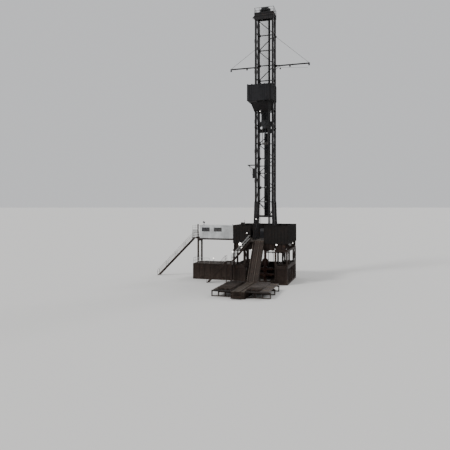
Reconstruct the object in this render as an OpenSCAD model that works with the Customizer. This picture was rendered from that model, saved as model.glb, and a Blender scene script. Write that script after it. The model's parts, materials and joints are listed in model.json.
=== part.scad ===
// Land drilling rig on a box-on-box base, as a 1:2 scale model.
// +X is to the right seen from the catwalk, +Y is away from it, +Z is up.
// The origin is the centre of the well at ground level. Sizes are in millimetres of the model.

/* [Drill floor] */
// Height of the drill floor above the ground
floor_top = 4000; // [3700:50:4400]
// Width of the drill floor
floor_w = 5150; // [4900:50:5500]
// Reach of the drill floor in front of the well
floor_front = 2400; // [2300:50:2700]
// Reach of the drill floor behind the well
floor_back = 2800; // [2600:50:3100]
// Depth of the floor beams
floor_beam_h = 800; // [700:10:900]
// Width of the floor beams
floor_beam_w = 150; // [120:5:180]
// Thickness of the deck plate
deck_t = 25; // [20:1:40]
// Radius of the opening through the rotary table
rotary_r = 238; // [200:1:260]
// Outer radius of the rotary table
rotary_body_r = 430; // [400:5:460]
// Height of the rotary table
rotary_h = 260; // [200:5:300]

/* [Base boxes] */
// Width of each base box
box_w = 1200; // [1000:20:1300]
// Height of the lower boxes
lower_h = 1600; // [1400:20:1800]
// Square section of the posts
post = 150; // [120:5:180]
// Square section of the bracing
brace = 80; // [60:5:100]
// Thickness of the side plating on the lower boxes
plating_t = 10; // [6:1:20]

/* [Mast] */
// Distance between the leg centres, left to right
mast_w = 1650; // [1550:10:1750]
// Distance between the leg centres, front to back
mast_d = 1200; // [1150:10:1300]
// Distance of the mast centre behind the well
mast_y = 100; // [60:5:140]
// Section of the legs
leg = 180; // [160:2:200]
// Section of the legs of the foot piece
foot_leg = 230; // [210:2:250]
// Distance between the leg centres at the mast feet
foot_w = 1920; // [1800:10:2050]
// Height at which the mast stands on its foot piece
foot_top = 7625; // [7300:25:7900]
// Height of the splice between the lower and upper mast
splice_z = 14800; // [14400:50:15200]
// Length of the doubled panel at the splice
splice_h = 350; // [250:10:450]
// Height of the top of the legs
mast_top = 25580; // [25200:20:25900]
// Height of the short panel under the crown
top_panel_h = 1490; // [1400:10:1550]
// Section of the mast's horizontals
girt = 80; // [60:2:90]
// Section of the mast's diagonals
diagonal = 64; // [50:2:80]

/* [Crown] */
// Depth of the crown beams
crown_h = 250; // [200:10:320]
// Reach of the crown platform to each side of the mast
crown_reach = 130; // [110:10:180]
// Reach of the crown platform in front of and behind the mast
crown_overhang = 120; // [90:10:160]
// Radius of the sheaves
sheave_r = 360; // [320:5:370]
// Thickness of a sheave
sheave_t = 60; // [50:1:70]
// Number of crown sheaves
sheave_count = 6; // [4:1:6]
// Distance from one sheave to the next
sheave_pitch = 120; // [100:1:130]
// Height of the sheave shaft above the crown beams
shaft_up = 430; // [400:5:450]
// Diameter of the drilling line
line_d = 18; // [14:1:24]

/* [Racking board] */
// Height of the underside of the racking board
board_z = 17100; // [16800:50:17400]
// Reach of the racking board to the left of the mast centre
board_left = 1270; // [1210:5:1340]
// Reach of the racking board to the right of the mast centre
board_right = 1205; // [1150:5:1300]
// Reach of the racking board from the mast
board_d = 1580; // [1450:10:1700]
// Height of the board's windwall
board_wall_h = 1500; // [1300:20:1600]
// Height of the board's frame beams
board_beam = 100; // [80:2:140]
// Clear distance between two fingers
finger_gap = 80; // [72:1:90]
// Width of a finger
finger_w = 30; // [24:1:40]

/* [Travelling gear] */
// Height of the underside of the elevator at rest
elevator_z = 13200; // [12800:50:13600]
// Width of the travelling gear's carriage
carriage_w = 1420; // [1300:10:1440]
// Distance of the guide beam to the right of the well
guide_x = 300; // [240:5:340]
// Width of the guide beam
guide_w = 200; // [160:5:240]
// Depth of the guide beam
guide_d = 110; // [90:5:130]
// Running gap between the carriage and its guide beam
guide_gap = 8; // [6:1:14]

/* [Light booms] */
// Height of the lower chord of the booms
boom_z = 20940; // [20600:20:21200]
// Depth of the booms
boom_h = 115; // [100:5:150]
// Reach of the left boom from the mast centre
boom_left = 3725; // [3400:25:4000]
// Reach of the right boom from the mast centre
boom_right = 4225; // [3900:25:4500]
// Section of the boom chords
boom_t = 40; // [32:2:46]

/* [Doghouse] */
// Length of the doghouse
dog_l = 4200; // [3900:50:4400]
// Depth of the doghouse
dog_d = 1250; // [1200:10:1400]
// Height of the doghouse
dog_h = 1300; // [1200:10:1400]
// Thickness of its walls
dog_t = 50; // [40:2:60]
// Distance of its near wall behind the well
dog_y = 100; // [0:10:200]

/* [Stairs] */
// Width of the stairs
stair_w = 450; // [400:10:500]
// Height of one step
rise = 100; // [90:1:110]
// Depth of the stringers
stringer = 125; // [110:5:140]
// Height of the handrails
rail_h = 550; // [500:10:600]
// Section of the handrail tubes
rail = 24; // [20:1:30]

/* [Ramp and catwalk] */
// Width of the V-door ramp
ramp_w = 1000; // [900:20:1100]
// Distance of the ramp's centre line from the well
ramp_x = -100; // [-160:10:-40]
// Width of the catwalk
catwalk_w = 1200; // [1100:20:1300]
// Reach of the pipe rack to the left of the catwalk
rack_left_w = 1750; // [1500:50:1900]
// Reach of the pipe rack to the right of the catwalk
rack_right_w = 1900; // [1600:50:2000]
// Diameter of the pipe that lies on the racks
rack_pipe_d = 122; // [100:2:140]
// Height of the catwalk
catwalk_h = 550; // [500:10:600]
// Distance of the near end of the catwalk in front of the well
catwalk_far = 9900; // [9400:50:10200]
// Distance of the end of the catwalk nearest the rig
catwalk_near = 4900; // [4700:50:5200]

/* [Windwalls] */
// Height of the windwalls
wall_h = 1450; // [1300:10:1600]
// Depth of the windwalls over their ribs
wall_t = 40; // [30:2:60]
// Thickness of the windwall sheet
sheet_t = 8; // [5:1:12]
// How far the outer windwalls hang down over the floor beams
wall_skirt = 250; // [150:10:350]

/* [Hidden] */

big = 60000;
half_floor = floor_w / 2;
frame_z = floor_top - deck_t - floor_beam_h;
box_inner = half_floor - box_w;
box_bays = 4;
leg_x = mast_w / 2;
leg_y = mast_d / 2;
foot_x = foot_w / 2;
shoe_h = 200;
shoe_w = 300;
lower_panel = (splice_z - foot_top) / 5;
upper_z = splice_z + splice_h;
upper_panel = (mast_top - top_panel_h - upper_z) / 6;
levels = [
    for (i = [0 : 5]) foot_top + i * lower_panel,
    for (i = [0 : 6]) upper_z + i * upper_panel,
    mast_top,
];
torque_z = foot_top - 1475;
torque_h = 200;
front_y = mast_y - leg_y;
back_y = mast_y + leg_y;
crown_top = mast_top + crown_h;
shaft_z = crown_top + shaft_up;
steel = [0.16, 0.16, 0.17];
brown = [0.20, 0.15, 0.12];
dark = [0.10, 0.09, 0.09];
pale = [0.78, 0.79, 0.80];
grey = [0.33, 0.34, 0.36];

// A straight bar of square section between two points.
module bar(a, b, w) {
    v = b - a;
    l = norm(v);
    translate(a)
        rotate([0, acos(v.z / l), atan2(v.y, v.x)])
            translate([-w / 2, -w / 2, 0])
                cube([w, w, l]);
}

// A box given by its lowest and highest corners.
module block(low, high) {
    translate(low)
        cube(high - low);
}

// The half space beyond a plane, as a very large block: side is -1 or 1 along the axis.
module half_space(axis, at, side) {
    low = [for (i = [0 : 2]) i == axis && side > 0 ? at : -big];
    high = [for (i = [0 : 2]) i == axis && side < 0 ? at : big];
    block(low, high);
}

// An I beam along X between x0 and x1, centred on y, standing on z.
module beam_x(x0, x1, y, z, h, w) {
    translate([x0, y, z])
        rotate([90, 0, 90])
            linear_extrude(x1 - x0)
                i_profile(h, w);
}

// An I beam along Y between y0 and y1, centred on x, standing on z.
module beam_y(y0, y1, x, z, h, w) {
    translate([x, y1, z])
        rotate([90, 0, 0])
            linear_extrude(y1 - y0)
                i_profile(h, w);
}

// The outline of an I beam with its foot on the axis.
module i_profile(h, w) {
    web = w * 0.12;
    flange = w * 0.16;
    translate([-w / 2, 0])
        square([w, flange]);
    translate([-w / 2, h - flange])
        square([w, flange]);
    translate([-web / 2, 0])
        square([web, h]);
}

// One side of a box frame in the plane x: rails, posts at the given stops and diagonals in the given bays.
module box_side(x, y0, y1, z0, z1, stops, braced) {
    pitch = (y1 - y0 - post) / box_bays;
    for (z = [z0, z1 - post])
        block([x - post / 2, y0, z], [x + post / 2, y1, z + post]);
    for (i = stops)
        block([x - post / 2, y0 + i * pitch, z0], [x + post / 2, y0 + i * pitch + post, z1]);
    for (i = braced) {
        up = i % 2 == 0;
        bar(
            [x, y0 + post / 2 + i * pitch, up ? z0 + post / 2 : z1 - post / 2],
            [x, y0 + post / 2 + (i + 1) * pitch, up ? z1 - post / 2 : z0 + post / 2],
            brace);
    }
}

// A box frame between two upright sides, tied across at both ends and at every post.
module box_frame(x0, x1, z0, z1, stops, braced) {
    y0 = -floor_front;
    y1 = floor_back;
    pitch = (y1 - y0 - post) / box_bays;
    for (x = [x0 + post / 2, x1 - post / 2])
        box_side(x, y0, y1, z0, z1, stops, braced);
    for (i = stops, z = [z0, z1 - post])
        block([x0, y0 + i * pitch, z], [x1, y0 + i * pitch + post, z + post]);
}

// A lower box: a box frame with plates let into its outer and front sides.
module base_box(x0, x1, outer) {
    box_frame(x0, x1, 0, lower_h, [0 : box_bays], [0 : box_bays - 1]);
    plate_x = outer < 0 ? x0 + post / 2 : x1 - post / 2;
    block([plate_x - plating_t / 2, -floor_front, 0], [plate_x + plating_t / 2, floor_back, lower_h]);
    block([x0, -floor_front + post / 2, 0], [x1, -floor_front + post / 2 + plating_t, lower_h]);
}

module base_box_left() {
    color(brown)
        base_box(-half_floor, -box_inner, -1);
}

module base_box_right() {
    color(brown)
        base_box(box_inner, half_floor, 1);
}

// What holds the two lower boxes apart: a beam in front and a plated frame at the back.
module base_spreaders() {
    h = 300;
    back = floor_back - 2 * post;
    color(brown) {
        for (p = [[-floor_front + 2 * post, 0], [back, 0], [back, lower_h - h]])
            beam_x(-box_inner, box_inner, p.x, p.y, h, post);
        block([-box_inner, back - plating_t / 2, 0], [box_inner, back + plating_t / 2, lower_h]);
    }
}

// An upper box: posts at both ends and beside a wide middle bay, with one braced bay at the back.
module upper_box(x0, x1) {
    box_frame(x0, x1, lower_h, frame_z, [0, 1, box_bays - 1, box_bays], [box_bays - 1]);
}

module upper_box_left() {
    color(brown)
        upper_box(-half_floor, -box_inner);
}

module upper_box_right() {
    color(brown)
        upper_box(box_inner, half_floor);
}

// The drill floor's long beams, one over each side of the base boxes.
module floor_frame() {
    half = floor_beam_w / 2;
    color(brown)
        for (x = [-half_floor + half, -box_inner - half, box_inner + half, half_floor - half])
            beam_y(-floor_front, floor_back, x, frame_z, floor_beam_h, floor_beam_w);
}

// The beams pinned between the long ones, with two lower beams that carry the rotary table.
rotary_up = 40;

module floor_cross_beams() {
    w = floor_beam_w;
    rotary_beam_h = floor_beam_h + deck_t + rotary_up - rotary_h;
    rotary_beam_y = rotary_body_r + w / 2 + 10;
    color(brown) {
        for (bay = [[-half_floor + w, -box_inner - w], [-box_inner, box_inner], [box_inner + w, half_floor - w]])
            for (y = [-floor_front + w / 2, -rotary_beam_y, back_y, floor_back - w / 2])
                beam_x(bay[0], bay[1], y, frame_z, floor_beam_h, w);
        for (x = [-rotary_body_r + w / 2, rotary_body_r - w / 2])
            beam_y(-rotary_beam_y + w / 2, back_y - w / 2, x, frame_z, rotary_beam_h, w);
    }
}

module drill_floor_deck() {
    color(dark)
        difference() {
            block([-half_floor, -floor_front, floor_top - deck_t], [half_floor, floor_back, floor_top]);
            translate([0, 0, floor_top - deck_t - 1])
                cylinder(r = rotary_body_r + 10, h = deck_t + 2, $fn = 96);
        }
}

module rotary_table() {
    color(steel)
        translate([0, 0, floor_top + rotary_up - rotary_h])
            difference() {
                union() {
                    cylinder(r = rotary_body_r, h = rotary_h, $fn = 96);
                    translate([0, 0, 60])
                        cylinder(r = rotary_body_r + 5, h = rotary_h - 120, $fn = 96);
                }
                translate([0, 0, -1])
                    cylinder(r = rotary_r, h = rotary_h + 2, $fn = 96);
            }
}

// The blowout preventers under the floor, on a bolted wellhead flange.
bop_flange_r = 168;
bop_flange_t = 60;
bop_pcd = 295.3;
bop_bolts = 16;
bop_hole_r = 11;
bop_bore_r = 86.5;
bop_body_r = 125;
bop_bell_z = 2900;
bop_top_z = 3150;
annular_z = 1500;
annular_h = 520;
annular_r = 300;

module ram_preventer(z) {
    translate([0, 0, z]) {
        for (up = [0, 340])
            translate([0, 0, up])
                cylinder(r = 200, h = 60, $fn = 64);
        cylinder(r = 170, h = 400, $fn = 64);
        block([-650, -110, 90], [650, 110, 310]);
        for (s = [-1, 1])
            translate([s * 650, 0, 200])
                rotate([0, s * 90, 0])
                    cylinder(r = 90, h = 180, $fn = 48);
    }
}

module bop_stack() {
    color(brown)
        difference() {
            union() {
                cylinder(r = bop_flange_r, h = bop_flange_t, $fn = 96);
                cylinder(r = bop_body_r, h = bop_bell_z, $fn = 64);
                ram_preventer(400);
                ram_preventer(950);
                translate([0, 0, annular_z])
                    cylinder(r = annular_r, h = annular_h, $fn = 64);
                translate([0, 0, annular_z + annular_h])
                    cylinder(r1 = annular_r, r2 = bop_flange_r, h = 120, $fn = 64);
                translate([0, 0, bop_bell_z])
                    cylinder(r = bop_flange_r, h = bop_top_z - bop_bell_z, $fn = 64);
            }
            translate([0, 0, -1])
                cylinder(r = bop_bore_r, h = bop_top_z + 2, $fn = 64);
            for (i = [0 : bop_bolts - 1])
                rotate([0, 0, i * 360 / bop_bolts])
                    translate([bop_pcd / 2, 0, -1])
                        cylinder(r = bop_hole_r, h = bop_flange_t + 2, $fn = 32);
        }
}

// The outline of a ribbed windwall sheet that runs along X from 0, with its ribs towards -Y.
rib_w = 60;

function rib_count(length) = max(1, round(length / 300));
function rib_pitch(length) = (length - rib_w) / rib_count(length);

module sheet_outline(length) {
    square([length, sheet_t]);
    for (i = [0 : rib_count(length)])
        translate([i * rib_pitch(length), sheet_t - wall_t])
            square([rib_w, wall_t]);
}

// A windwall along X whose sheet stands against the plane y, with its ribs outside.
module wall_x(x0, x1, y, z0) {
    translate([x0, y - sheet_t, z0])
        linear_extrude(floor_top + wall_h - z0)
            sheet_outline(x1 - x0);
}

door_gap = 300;
v_door_left = ramp_x - ramp_w / 2 - door_gap;
v_door_right = ramp_x + ramp_w / 2;
skirt_z = floor_top - wall_skirt;

module windwall_front_left() {
    color(dark)
        wall_x(-half_floor, v_door_left, -floor_front, skirt_z);
}

module windwall_front_right() {
    color(dark)
        wall_x(v_door_right, half_floor, -floor_front, skirt_z);
}

module windwall_back() {
    color(dark)
        rotate([0, 0, 180])
            wall_x(-half_floor, half_floor, -floor_back, skirt_z);
}

dog_door_w = 450;
dog_door_h = 1050;
dog_door_y = dog_y + 300;

// The left windwall stands on the deck, because the doghouse is against the floor's edge.
module windwall_left() {
    color(dark)
        difference() {
            rotate([0, 0, 90])
                wall_x(-floor_front, floor_back, half_floor, floor_top);
            block([-half_floor - 1, dog_door_y, floor_top - 1],
                [-half_floor + wall_t + 1, dog_door_y + dog_door_w, floor_top + dog_door_h]);
        }
}

module windwall_right() {
    color(dark)
        rotate([0, 0, 90])
            wall_x(-floor_front, floor_back, -half_floor, skirt_z);
}

// The ramp from the catwalk to the V-door: a plate on two side girders.
ramp_girder = 200;
ramp_plate = 30;

module ramp_slab(x0, x1, thick) {
    run = catwalk_near - floor_front;
    fall = floor_top - catwalk_h;
    drop = thick * norm([run, fall]) / run;
    translate([x0, 0, 0])
        rotate([90, 0, 90])
            linear_extrude(x1 - x0)
                polygon([
                    [-floor_front, floor_top],
                    [-floor_front, floor_top - drop],
                    [-catwalk_near, catwalk_h - drop],
                    [-catwalk_near, catwalk_h],
                ]);
}

module v_door_ramp() {
    color(brown) {
        ramp_slab(ramp_x - ramp_w / 2, ramp_x + ramp_w / 2, ramp_plate);
        for (x = [ramp_x - ramp_w / 2, ramp_x - 40, ramp_x + ramp_w / 2 - 80])
            ramp_slab(x, x + 80, ramp_girder);
    }
}

trough_w = 400;

module catwalk() {
    x0 = ramp_x - catwalk_w / 2;
    x1 = ramp_x + catwalk_w / 2;
    color(brown) {
        block([x0, -catwalk_far, catwalk_h - 40], [x1, -catwalk_near, catwalk_h]);
        for (x = [x0, ramp_x - trough_w / 2 - 40, ramp_x + trough_w / 2, x1 - 40])
            block([x, -catwalk_far, catwalk_h], [x + 40, -catwalk_near, catwalk_h + 50]);
        for (x = [x0 + 60, x1 - 60])
            beam_y(-catwalk_far, -catwalk_near, x, 0, catwalk_h - 20, 120);
        for (i = [0 : 5])
            beam_x(x0 + 60, x1 - 60, -catwalk_far + 60 + i * (catwalk_far - catwalk_near - 120) / 5,
                0, catwalk_h - 20, 120);
    }
}

// Three cross sills on posts for the pipe on one side of the catwalk.
rack_h = catwalk_h - 60;
rack_inset = 700;

module pipe_rack(x0, x1) {
    for (i = [0 : 2]) {
        y = -catwalk_far + rack_inset + i * (catwalk_far - catwalk_near - 2 * rack_inset) / 2;
        block([x0, y - 60, rack_h - 100], [x1, y + 60, rack_h]);
        block([x0, y - 60, 0], [x1, y + 60, 60]);
        for (j = [0 : 3])
            block([x0 + j * (x1 - x0 - 80) / 3, y - 60, 0],
                [x0 + j * (x1 - x0 - 80) / 3 + 80, y + 60, rack_h]);
    }
}

module pipe_rack_left() {
    color(brown)
        pipe_rack(ramp_x - catwalk_w / 2 - rack_left_w, ramp_x - catwalk_w / 2);
}

module pipe_rack_right() {
    color(brown)
        pipe_rack(ramp_x + catwalk_w / 2, ramp_x + catwalk_w / 2 + rack_right_w);
}

// One layer of pipe on each rack, laid side by side from the catwalk outwards.
module rack_pipe() {
    gap = 6;
    pitch = rack_pipe_d + gap;
    color(steel)
        for (s = [-1, 1]) {
            count = floor(((s < 0 ? rack_left_w : rack_right_w) - 100) / pitch);
            for (i = [0 : count - 1])
                translate([
                    ramp_x + s * (catwalk_w / 2 + gap + rack_pipe_d / 2 + i * pitch),
                    -catwalk_near - 350,
                    rack_h + rack_pipe_d / 2,
                ])
                    rotate([90, 0, 0])
                        cylinder(d = rack_pipe_d, h = catwalk_far - catwalk_near - 700, $fn = 24);
        }
}

// One side of the mast's foot piece: two sloping legs on shoes, girts and braces.
module mast_foot(s) {
    module leg_line(y)
        bar([s * foot_x, y, floor_top + foot_leg], [s * leg_x, y, foot_top + foot_leg], foot_leg);
    intersection() {
        union() {
            for (y = [front_y, back_y]) {
                leg_line(y);
                block([s * foot_x - shoe_w / 2, y - shoe_w / 2, floor_top],
                    [s * foot_x + shoe_w / 2, y + shoe_w / 2, floor_top + shoe_h + foot_leg]);
            }
            mid_x = (foot_x + leg_x) / 2;
            mid_z = (floor_top + foot_top) / 2;
            bar([s * mid_x, front_y, mid_z], [s * mid_x, back_y, mid_z], girt);
            bar([s * mid_x, front_y, mid_z], [s * leg_x, back_y, foot_top - girt], diagonal);
            bar([s * mid_x, back_y, mid_z], [s * foot_x, front_y, floor_top + shoe_h + foot_leg], diagonal);
            bar([s * leg_x, front_y, foot_top - girt / 2], [s * leg_x, back_y, foot_top - girt / 2], girt);
        }
        half_space(2, foot_top, -1);
    }
}

module mast_foot_left() {
    color(steel)
        mast_foot(-1);
}

module mast_foot_right() {
    color(steel)
        mast_foot(1);
}

// The beam across the mast feet that takes the turning force of the top drive.
torque_y = back_y - foot_leg / 2;
torque_d = 150;

// How far from the mast's centre line the foot legs' inner faces are at a height.
function foot_inner(z) =
    let (lean = (foot_x - leg_x) / (foot_top - floor_top))
    leg_x + lean * (foot_top + foot_leg - z) - foot_leg / 2 / cos(atan(lean));

module torque_beam() {
    left_z = foot_top - 150;
    right_z = torque_z + torque_h;
    color(steel) {
        block([-foot_x, torque_y - torque_d, torque_z], [foot_x, torque_y, torque_z + torque_h]);
        translate([0, back_y + diagonal / 2, 0])
            rotate([90, 0, 0])
                linear_extrude(diagonal)
                    polygon([
                        [-foot_inner(left_z), left_z],
                        [foot_inner(right_z), right_z],
                        [foot_inner(right_z + diagonal), right_z + diagonal],
                        [-foot_inner(left_z + diagonal), left_z + diagonal],
                    ]);
    }
}

// One side of the mast above its foot: two legs, girts and zigzag diagonals.
module mast_side(s) {
    intersection() {
        union() {
            for (y = [front_y, back_y])
                block([s * leg_x - leg / 2, y - leg / 2, foot_top],
                    [s * leg_x + leg / 2, y + leg / 2, mast_top]);
            for (z = [foot_top, splice_z, splice_z + 60])
                for (y = [front_y, back_y])
                    block([s * leg_x - foot_leg / 2, y - foot_leg / 2, z],
                        [s * leg_x + foot_leg / 2, y + foot_leg / 2, z + 50]);
            for (i = [0 : len(levels) - 1])
                bar([s * leg_x, front_y, levels[i]], [s * leg_x, back_y, levels[i]], girt);
            for (i = [0 : len(levels) - 2])
                if (i != 5) {
                    even = (i > 5 ? i + 1 : i) % 2 == 0;
                    bar(
                        [s * leg_x, even ? front_y : back_y, levels[i]],
                        [s * leg_x, even ? back_y : front_y, levels[i + 1]],
                        diagonal);
                }
        }
        block([-big, front_y - foot_leg / 2, foot_top], [big, back_y + foot_leg / 2, mast_top]);
    }
}

module mast_left_side() {
    color(steel)
        mast_side(-1);
}

module mast_right_side() {
    color(steel)
        mast_side(1);
}

// The back face between the legs: girts at every level and at the stabbing board, and one zigzag of diagonals.
module mast_back_bracing() {
    inner = leg_x - leg / 2;
    color(steel)
        intersection() {
            union() {
                for (z = concat(levels, [stab_z]))
                    bar([-leg_x, back_y, z], [leg_x, back_y, z], girt);
                for (i = [0 : len(levels) - 2])
                    if (i != 5) {
                        s = (i > 5 ? i - 1 : i) % 2 == 0 ? -1 : 1;
                        bar([s * leg_x, back_y, levels[i]], [-s * leg_x, back_y, levels[i + 1]], diagonal);
                    }
            }
            difference() {
                block([-inner, -big, foot_top], [inner, big, mast_top]);
                for (z = [foot_top, splice_z, splice_z + 60], x = [-inner, leg_x - foot_leg / 2])
                    block([x, -big, z], [x + foot_leg / 2 - leg / 2, big, z + 50]);
            }
        }
}

// A channel of two rails on a web, hung from the crown down to the torque beam, and the hose tray behind it.
guide_front = torque_y - torque_d;
tray_x0 = -230;
tray_x1 = 190;
tray_y1 = back_y - girt / 2;
tray_d = 90;
tray_t = 10;

module guide_beam() {
    z0 = torque_z + torque_h;
    rail_w = 30;
    web_t = 24;
    color(steel)
        translate([guide_x - guide_w / 2, guide_front, z0])
            linear_extrude(mast_top - z0) {
                for (x = [0, guide_w - rail_w])
                    translate([x, 0])
                        square([rail_w, guide_d]);
                translate([0, guide_d / 2])
                    square([guide_w, web_t]);
            }
    color(steel)
        translate([0, 0, z0])
            linear_extrude(splice_z - 370 - z0)
                difference() {
                    translate([tray_x0, tray_y1 - tray_d])
                        square([tray_x1 - tray_x0, tray_d]);
                    translate([tray_x0 + tray_t, tray_y1 - tray_d - 1])
                        square([tray_x1 - tray_x0 - 2 * tray_t, tray_d - tray_t + 1]);
                }
}

// Crown beams: four around the mast head, two under the sheaves' bearings, and a plate over the front.
crown_half = leg_x + crown_reach;
crown_plate_t = 20;
bearing_x = sheave_count * sheave_pitch / 2 + 60;
fascia_h = 600;
fascia_t = 30;
fascia_y = front_y - leg / 2;

module crown_frame() {
    color(steel) {
        for (y = [front_y, back_y])
            beam_x(-crown_half + 60, crown_half - 60, y, mast_top, crown_h, 120);
        for (x = [-crown_half + 60, -bearing_x, bearing_x, crown_half - 60])
            beam_y(front_y - crown_overhang, back_y + crown_overhang, x, mast_top, crown_h, 120);
        block([-crown_half, fascia_y - fascia_t, crown_top - fascia_h], [crown_half, fascia_y, crown_top]);
    }
}

module rail_line(points) {
    for (i = [0 : len(points) - 2], up = [rail_h / 2, rail_h - rail / 2])
        bar(points[i] + [0, 0, up], points[i + 1] + [0, 0, up], rail);
    for (p = points)
        bar(p, p + [0, 0, rail_h], rail);
}

module crown_platform() {
    y0 = front_y - crown_overhang;
    y1 = back_y + crown_overhang;
    color(steel) {
        difference() {
            block([-crown_half, y0, crown_top], [crown_half, y1, crown_top + crown_plate_t]);
            block([-bearing_x - 100, -sheave_r - 60, crown_top - 1],
                [bearing_x + 100, sheave_r + 60, crown_top + crown_plate_t + 1]);
        }
        rail_line([
            for (i = [0 : 3]) [-crown_half + rail, y0 + rail + i * (y1 - y0 - 2 * rail) / 3, crown_top],
            for (i = [1 : 4]) [-crown_half + rail + i * (2 * crown_half - 2 * rail) / 4, y1 - rail, crown_top],
            for (i = [1 : 3]) [crown_half - rail, y1 - rail - i * (y1 - y0 - 2 * rail) / 3, crown_top],
            for (i = [1 : 4]) [crown_half - rail - i * (2 * crown_half - 2 * rail) / 4, y0 + rail, crown_top],
        ]);
    }
}

// A grooved sheave with its axis along X.
module sheave(r) {
    rotate([90, 0, 90])
        translate([0, 0, -sheave_t / 2])
            rotate_extrude($fn = 72)
                polygon([
                    [0, 0], [r, 0], [r, 8], [r - line_d, sheave_t / 2 - 5],
                    [r - line_d, sheave_t / 2 + 5], [r, sheave_t - 8], [r, sheave_t], [0, sheave_t],
                ]);
}

module crown_sheaves() {
    color(steel)
        translate([0, 0, shaft_z]) {
            for (i = [0 : sheave_count - 1])
                translate([(i - (sheave_count - 1) / 2) * sheave_pitch, 0, 0])
                    sheave(sheave_r);
            rotate([0, 90, 0])
                translate([0, 0, -bearing_x - 100])
                    cylinder(r = 60, h = 2 * bearing_x + 200, $fn = 48);
            for (s = [-1, 1])
                translate([s * bearing_x - 60, 0, 0])
                    rotate([90, 0, 90])
                        linear_extrude(120)
                            polygon([
                                [-300, -shaft_up], [300, -shaft_up], [110, 90], [-110, 90],
                            ]);
            for (s = [0, 1], y = [-120, 90])
                mirror([s, 0, 0])
                    translate([0, y + 30, 0])
                        rotate([90, 0, 0])
                            linear_extrude(30)
                                polygon([
                                    [bearing_x + 50, 20], [bearing_x + 50, crown_plate_t - shaft_up],
                                    [bearing_x + 230, crown_plate_t - shaft_up],
                                    [bearing_x + 230, crown_plate_t + 40 - shaft_up],
                                ]);
        }
}

// The racking board: a frame, a centre walkway and fingers at both sides.
board_y0 = front_y - leg / 2;
board_y1 = board_y0 - board_d;
board_panel_t = 20;
walk_half = 200;
finger_pitch = finger_gap + finger_w;
finger_count = floor((board_d - 2 * board_beam - 250) / finger_pitch);

// How far the racking board's frame reaches on one side of the mast centre.
function board_reach(s) = (s < 0 ? board_left : board_right) - board_panel_t;

module racking_board() {
    color(grey) {
        for (s = [-1, 1]) {
            edge = s * board_reach(s);
            root = s * (walk_half + 120);
            block([min(edge, edge - s * board_beam), board_y1, board_z],
                [max(edge, edge - s * board_beam), board_y0, board_z + board_beam]);
            for (i = [0 : finger_count - 1]) {
                y = board_y1 + board_beam + finger_gap + i * finger_pitch;
                block([min(edge, root), y, board_z + 20], [max(edge, root), y + finger_w, board_z + 80]);
            }
        }
        for (y = [board_y1, board_y0 - board_beam])
            block([-board_reach(-1), y, board_z], [board_reach(1), y + board_beam, board_z + board_beam]);
        block([-walk_half, board_y1, board_z + 20], [walk_half, board_y0, board_z + board_beam]);
    }
}

// The windwall round three sides of the racking board.
module board_windwall() {
    z1 = board_z + board_wall_h;
    color(grey) {
        for (s = [-1, 1]) {
            edge = s * board_reach(s);
            block([min(edge, edge + s * board_panel_t), board_y1 - board_panel_t, board_z],
                [max(edge, edge + s * board_panel_t), board_y0, z1]);
        }
        block([-board_left, board_y1 - board_panel_t, board_z], [board_right, board_y1, z1]);
    }
}

// Two splayed knee braces from the front legs, tied across, with a plate between them.
brace_drop = 950;
brace_reach = 1500;
brace_splay = 175;
brace_low = 0.13;

// A point of the right knee brace's centre line, from its foot on the leg (0) to the board (1).
function brace_at(t) =
    [leg_x + t * brace_splay, front_y - t * brace_reach, board_z - brace_drop + t * (brace_drop + 40)];

module board_braces() {
    tie_w = 120;
    plate_t = 12;
    plate_0 = brace_at(0.3);
    plate_1 = brace_at(0.93);
    color(steel)
        intersection() {
            union() {
                for (s = [0, 1])
                    mirror([s, 0, 0])
                        bar(brace_at(0), brace_at(1), girt);
                for (t = [brace_low, 0.93])
                    block([-brace_at(t).x, brace_at(t).y - tie_w / 2, brace_at(t).z - tie_w],
                        [brace_at(t).x, brace_at(t).y + tie_w / 2, brace_at(t).z]);
                intersection() {
                    translate([-big, 0, 0])
                        rotate([90, 0, 90])
                            linear_extrude(2 * big)
                                polygon([
                                    [plate_0.y, plate_0.z], [plate_1.y, plate_1.z],
                                    [plate_1.y, plate_1.z - plate_t], [plate_0.y, plate_0.z - plate_t],
                                ]);
                    linear_extrude(big)
                        polygon([
                            [plate_0.x, plate_0.y], [plate_1.x, plate_1.y],
                            [-plate_1.x, plate_1.y], [-plate_0.x, plate_0.y],
                        ]);
                }
            }
            block([-big, -big, 0], [big, board_y0, board_z]);
        }
}

// A small working arm on the left front leg, with a knee brace and a winch under it.
stab_z = 11200;
stab_reach = 675;

module stabbing_board() {
    x1 = -leg_x - leg / 2;
    x0 = x1 - stab_reach;
    winch_w = 220;
    winch_top = stab_z - 300;
    winch_h = 960;
    color(steel) {
        block([x0, front_y - 200, stab_z], [x1, front_y + 200, stab_z + 40]);
        block([x0, front_y - 200, stab_z - 60], [x1, front_y - 150, stab_z]);
        intersection() {
            for (y = [front_y - 60, front_y + 60])
                bar([x0, y, stab_z + 30], [x1 + 60, y, stab_z - 560], 44);
            block([-big, -big, 0], [x1, big, stab_z + 20]);
        }
        block([x1 - winch_w, front_y - winch_w / 2, winch_top - winch_h],
            [x1, front_y + winch_w / 2, winch_top]);
    }
}

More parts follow.
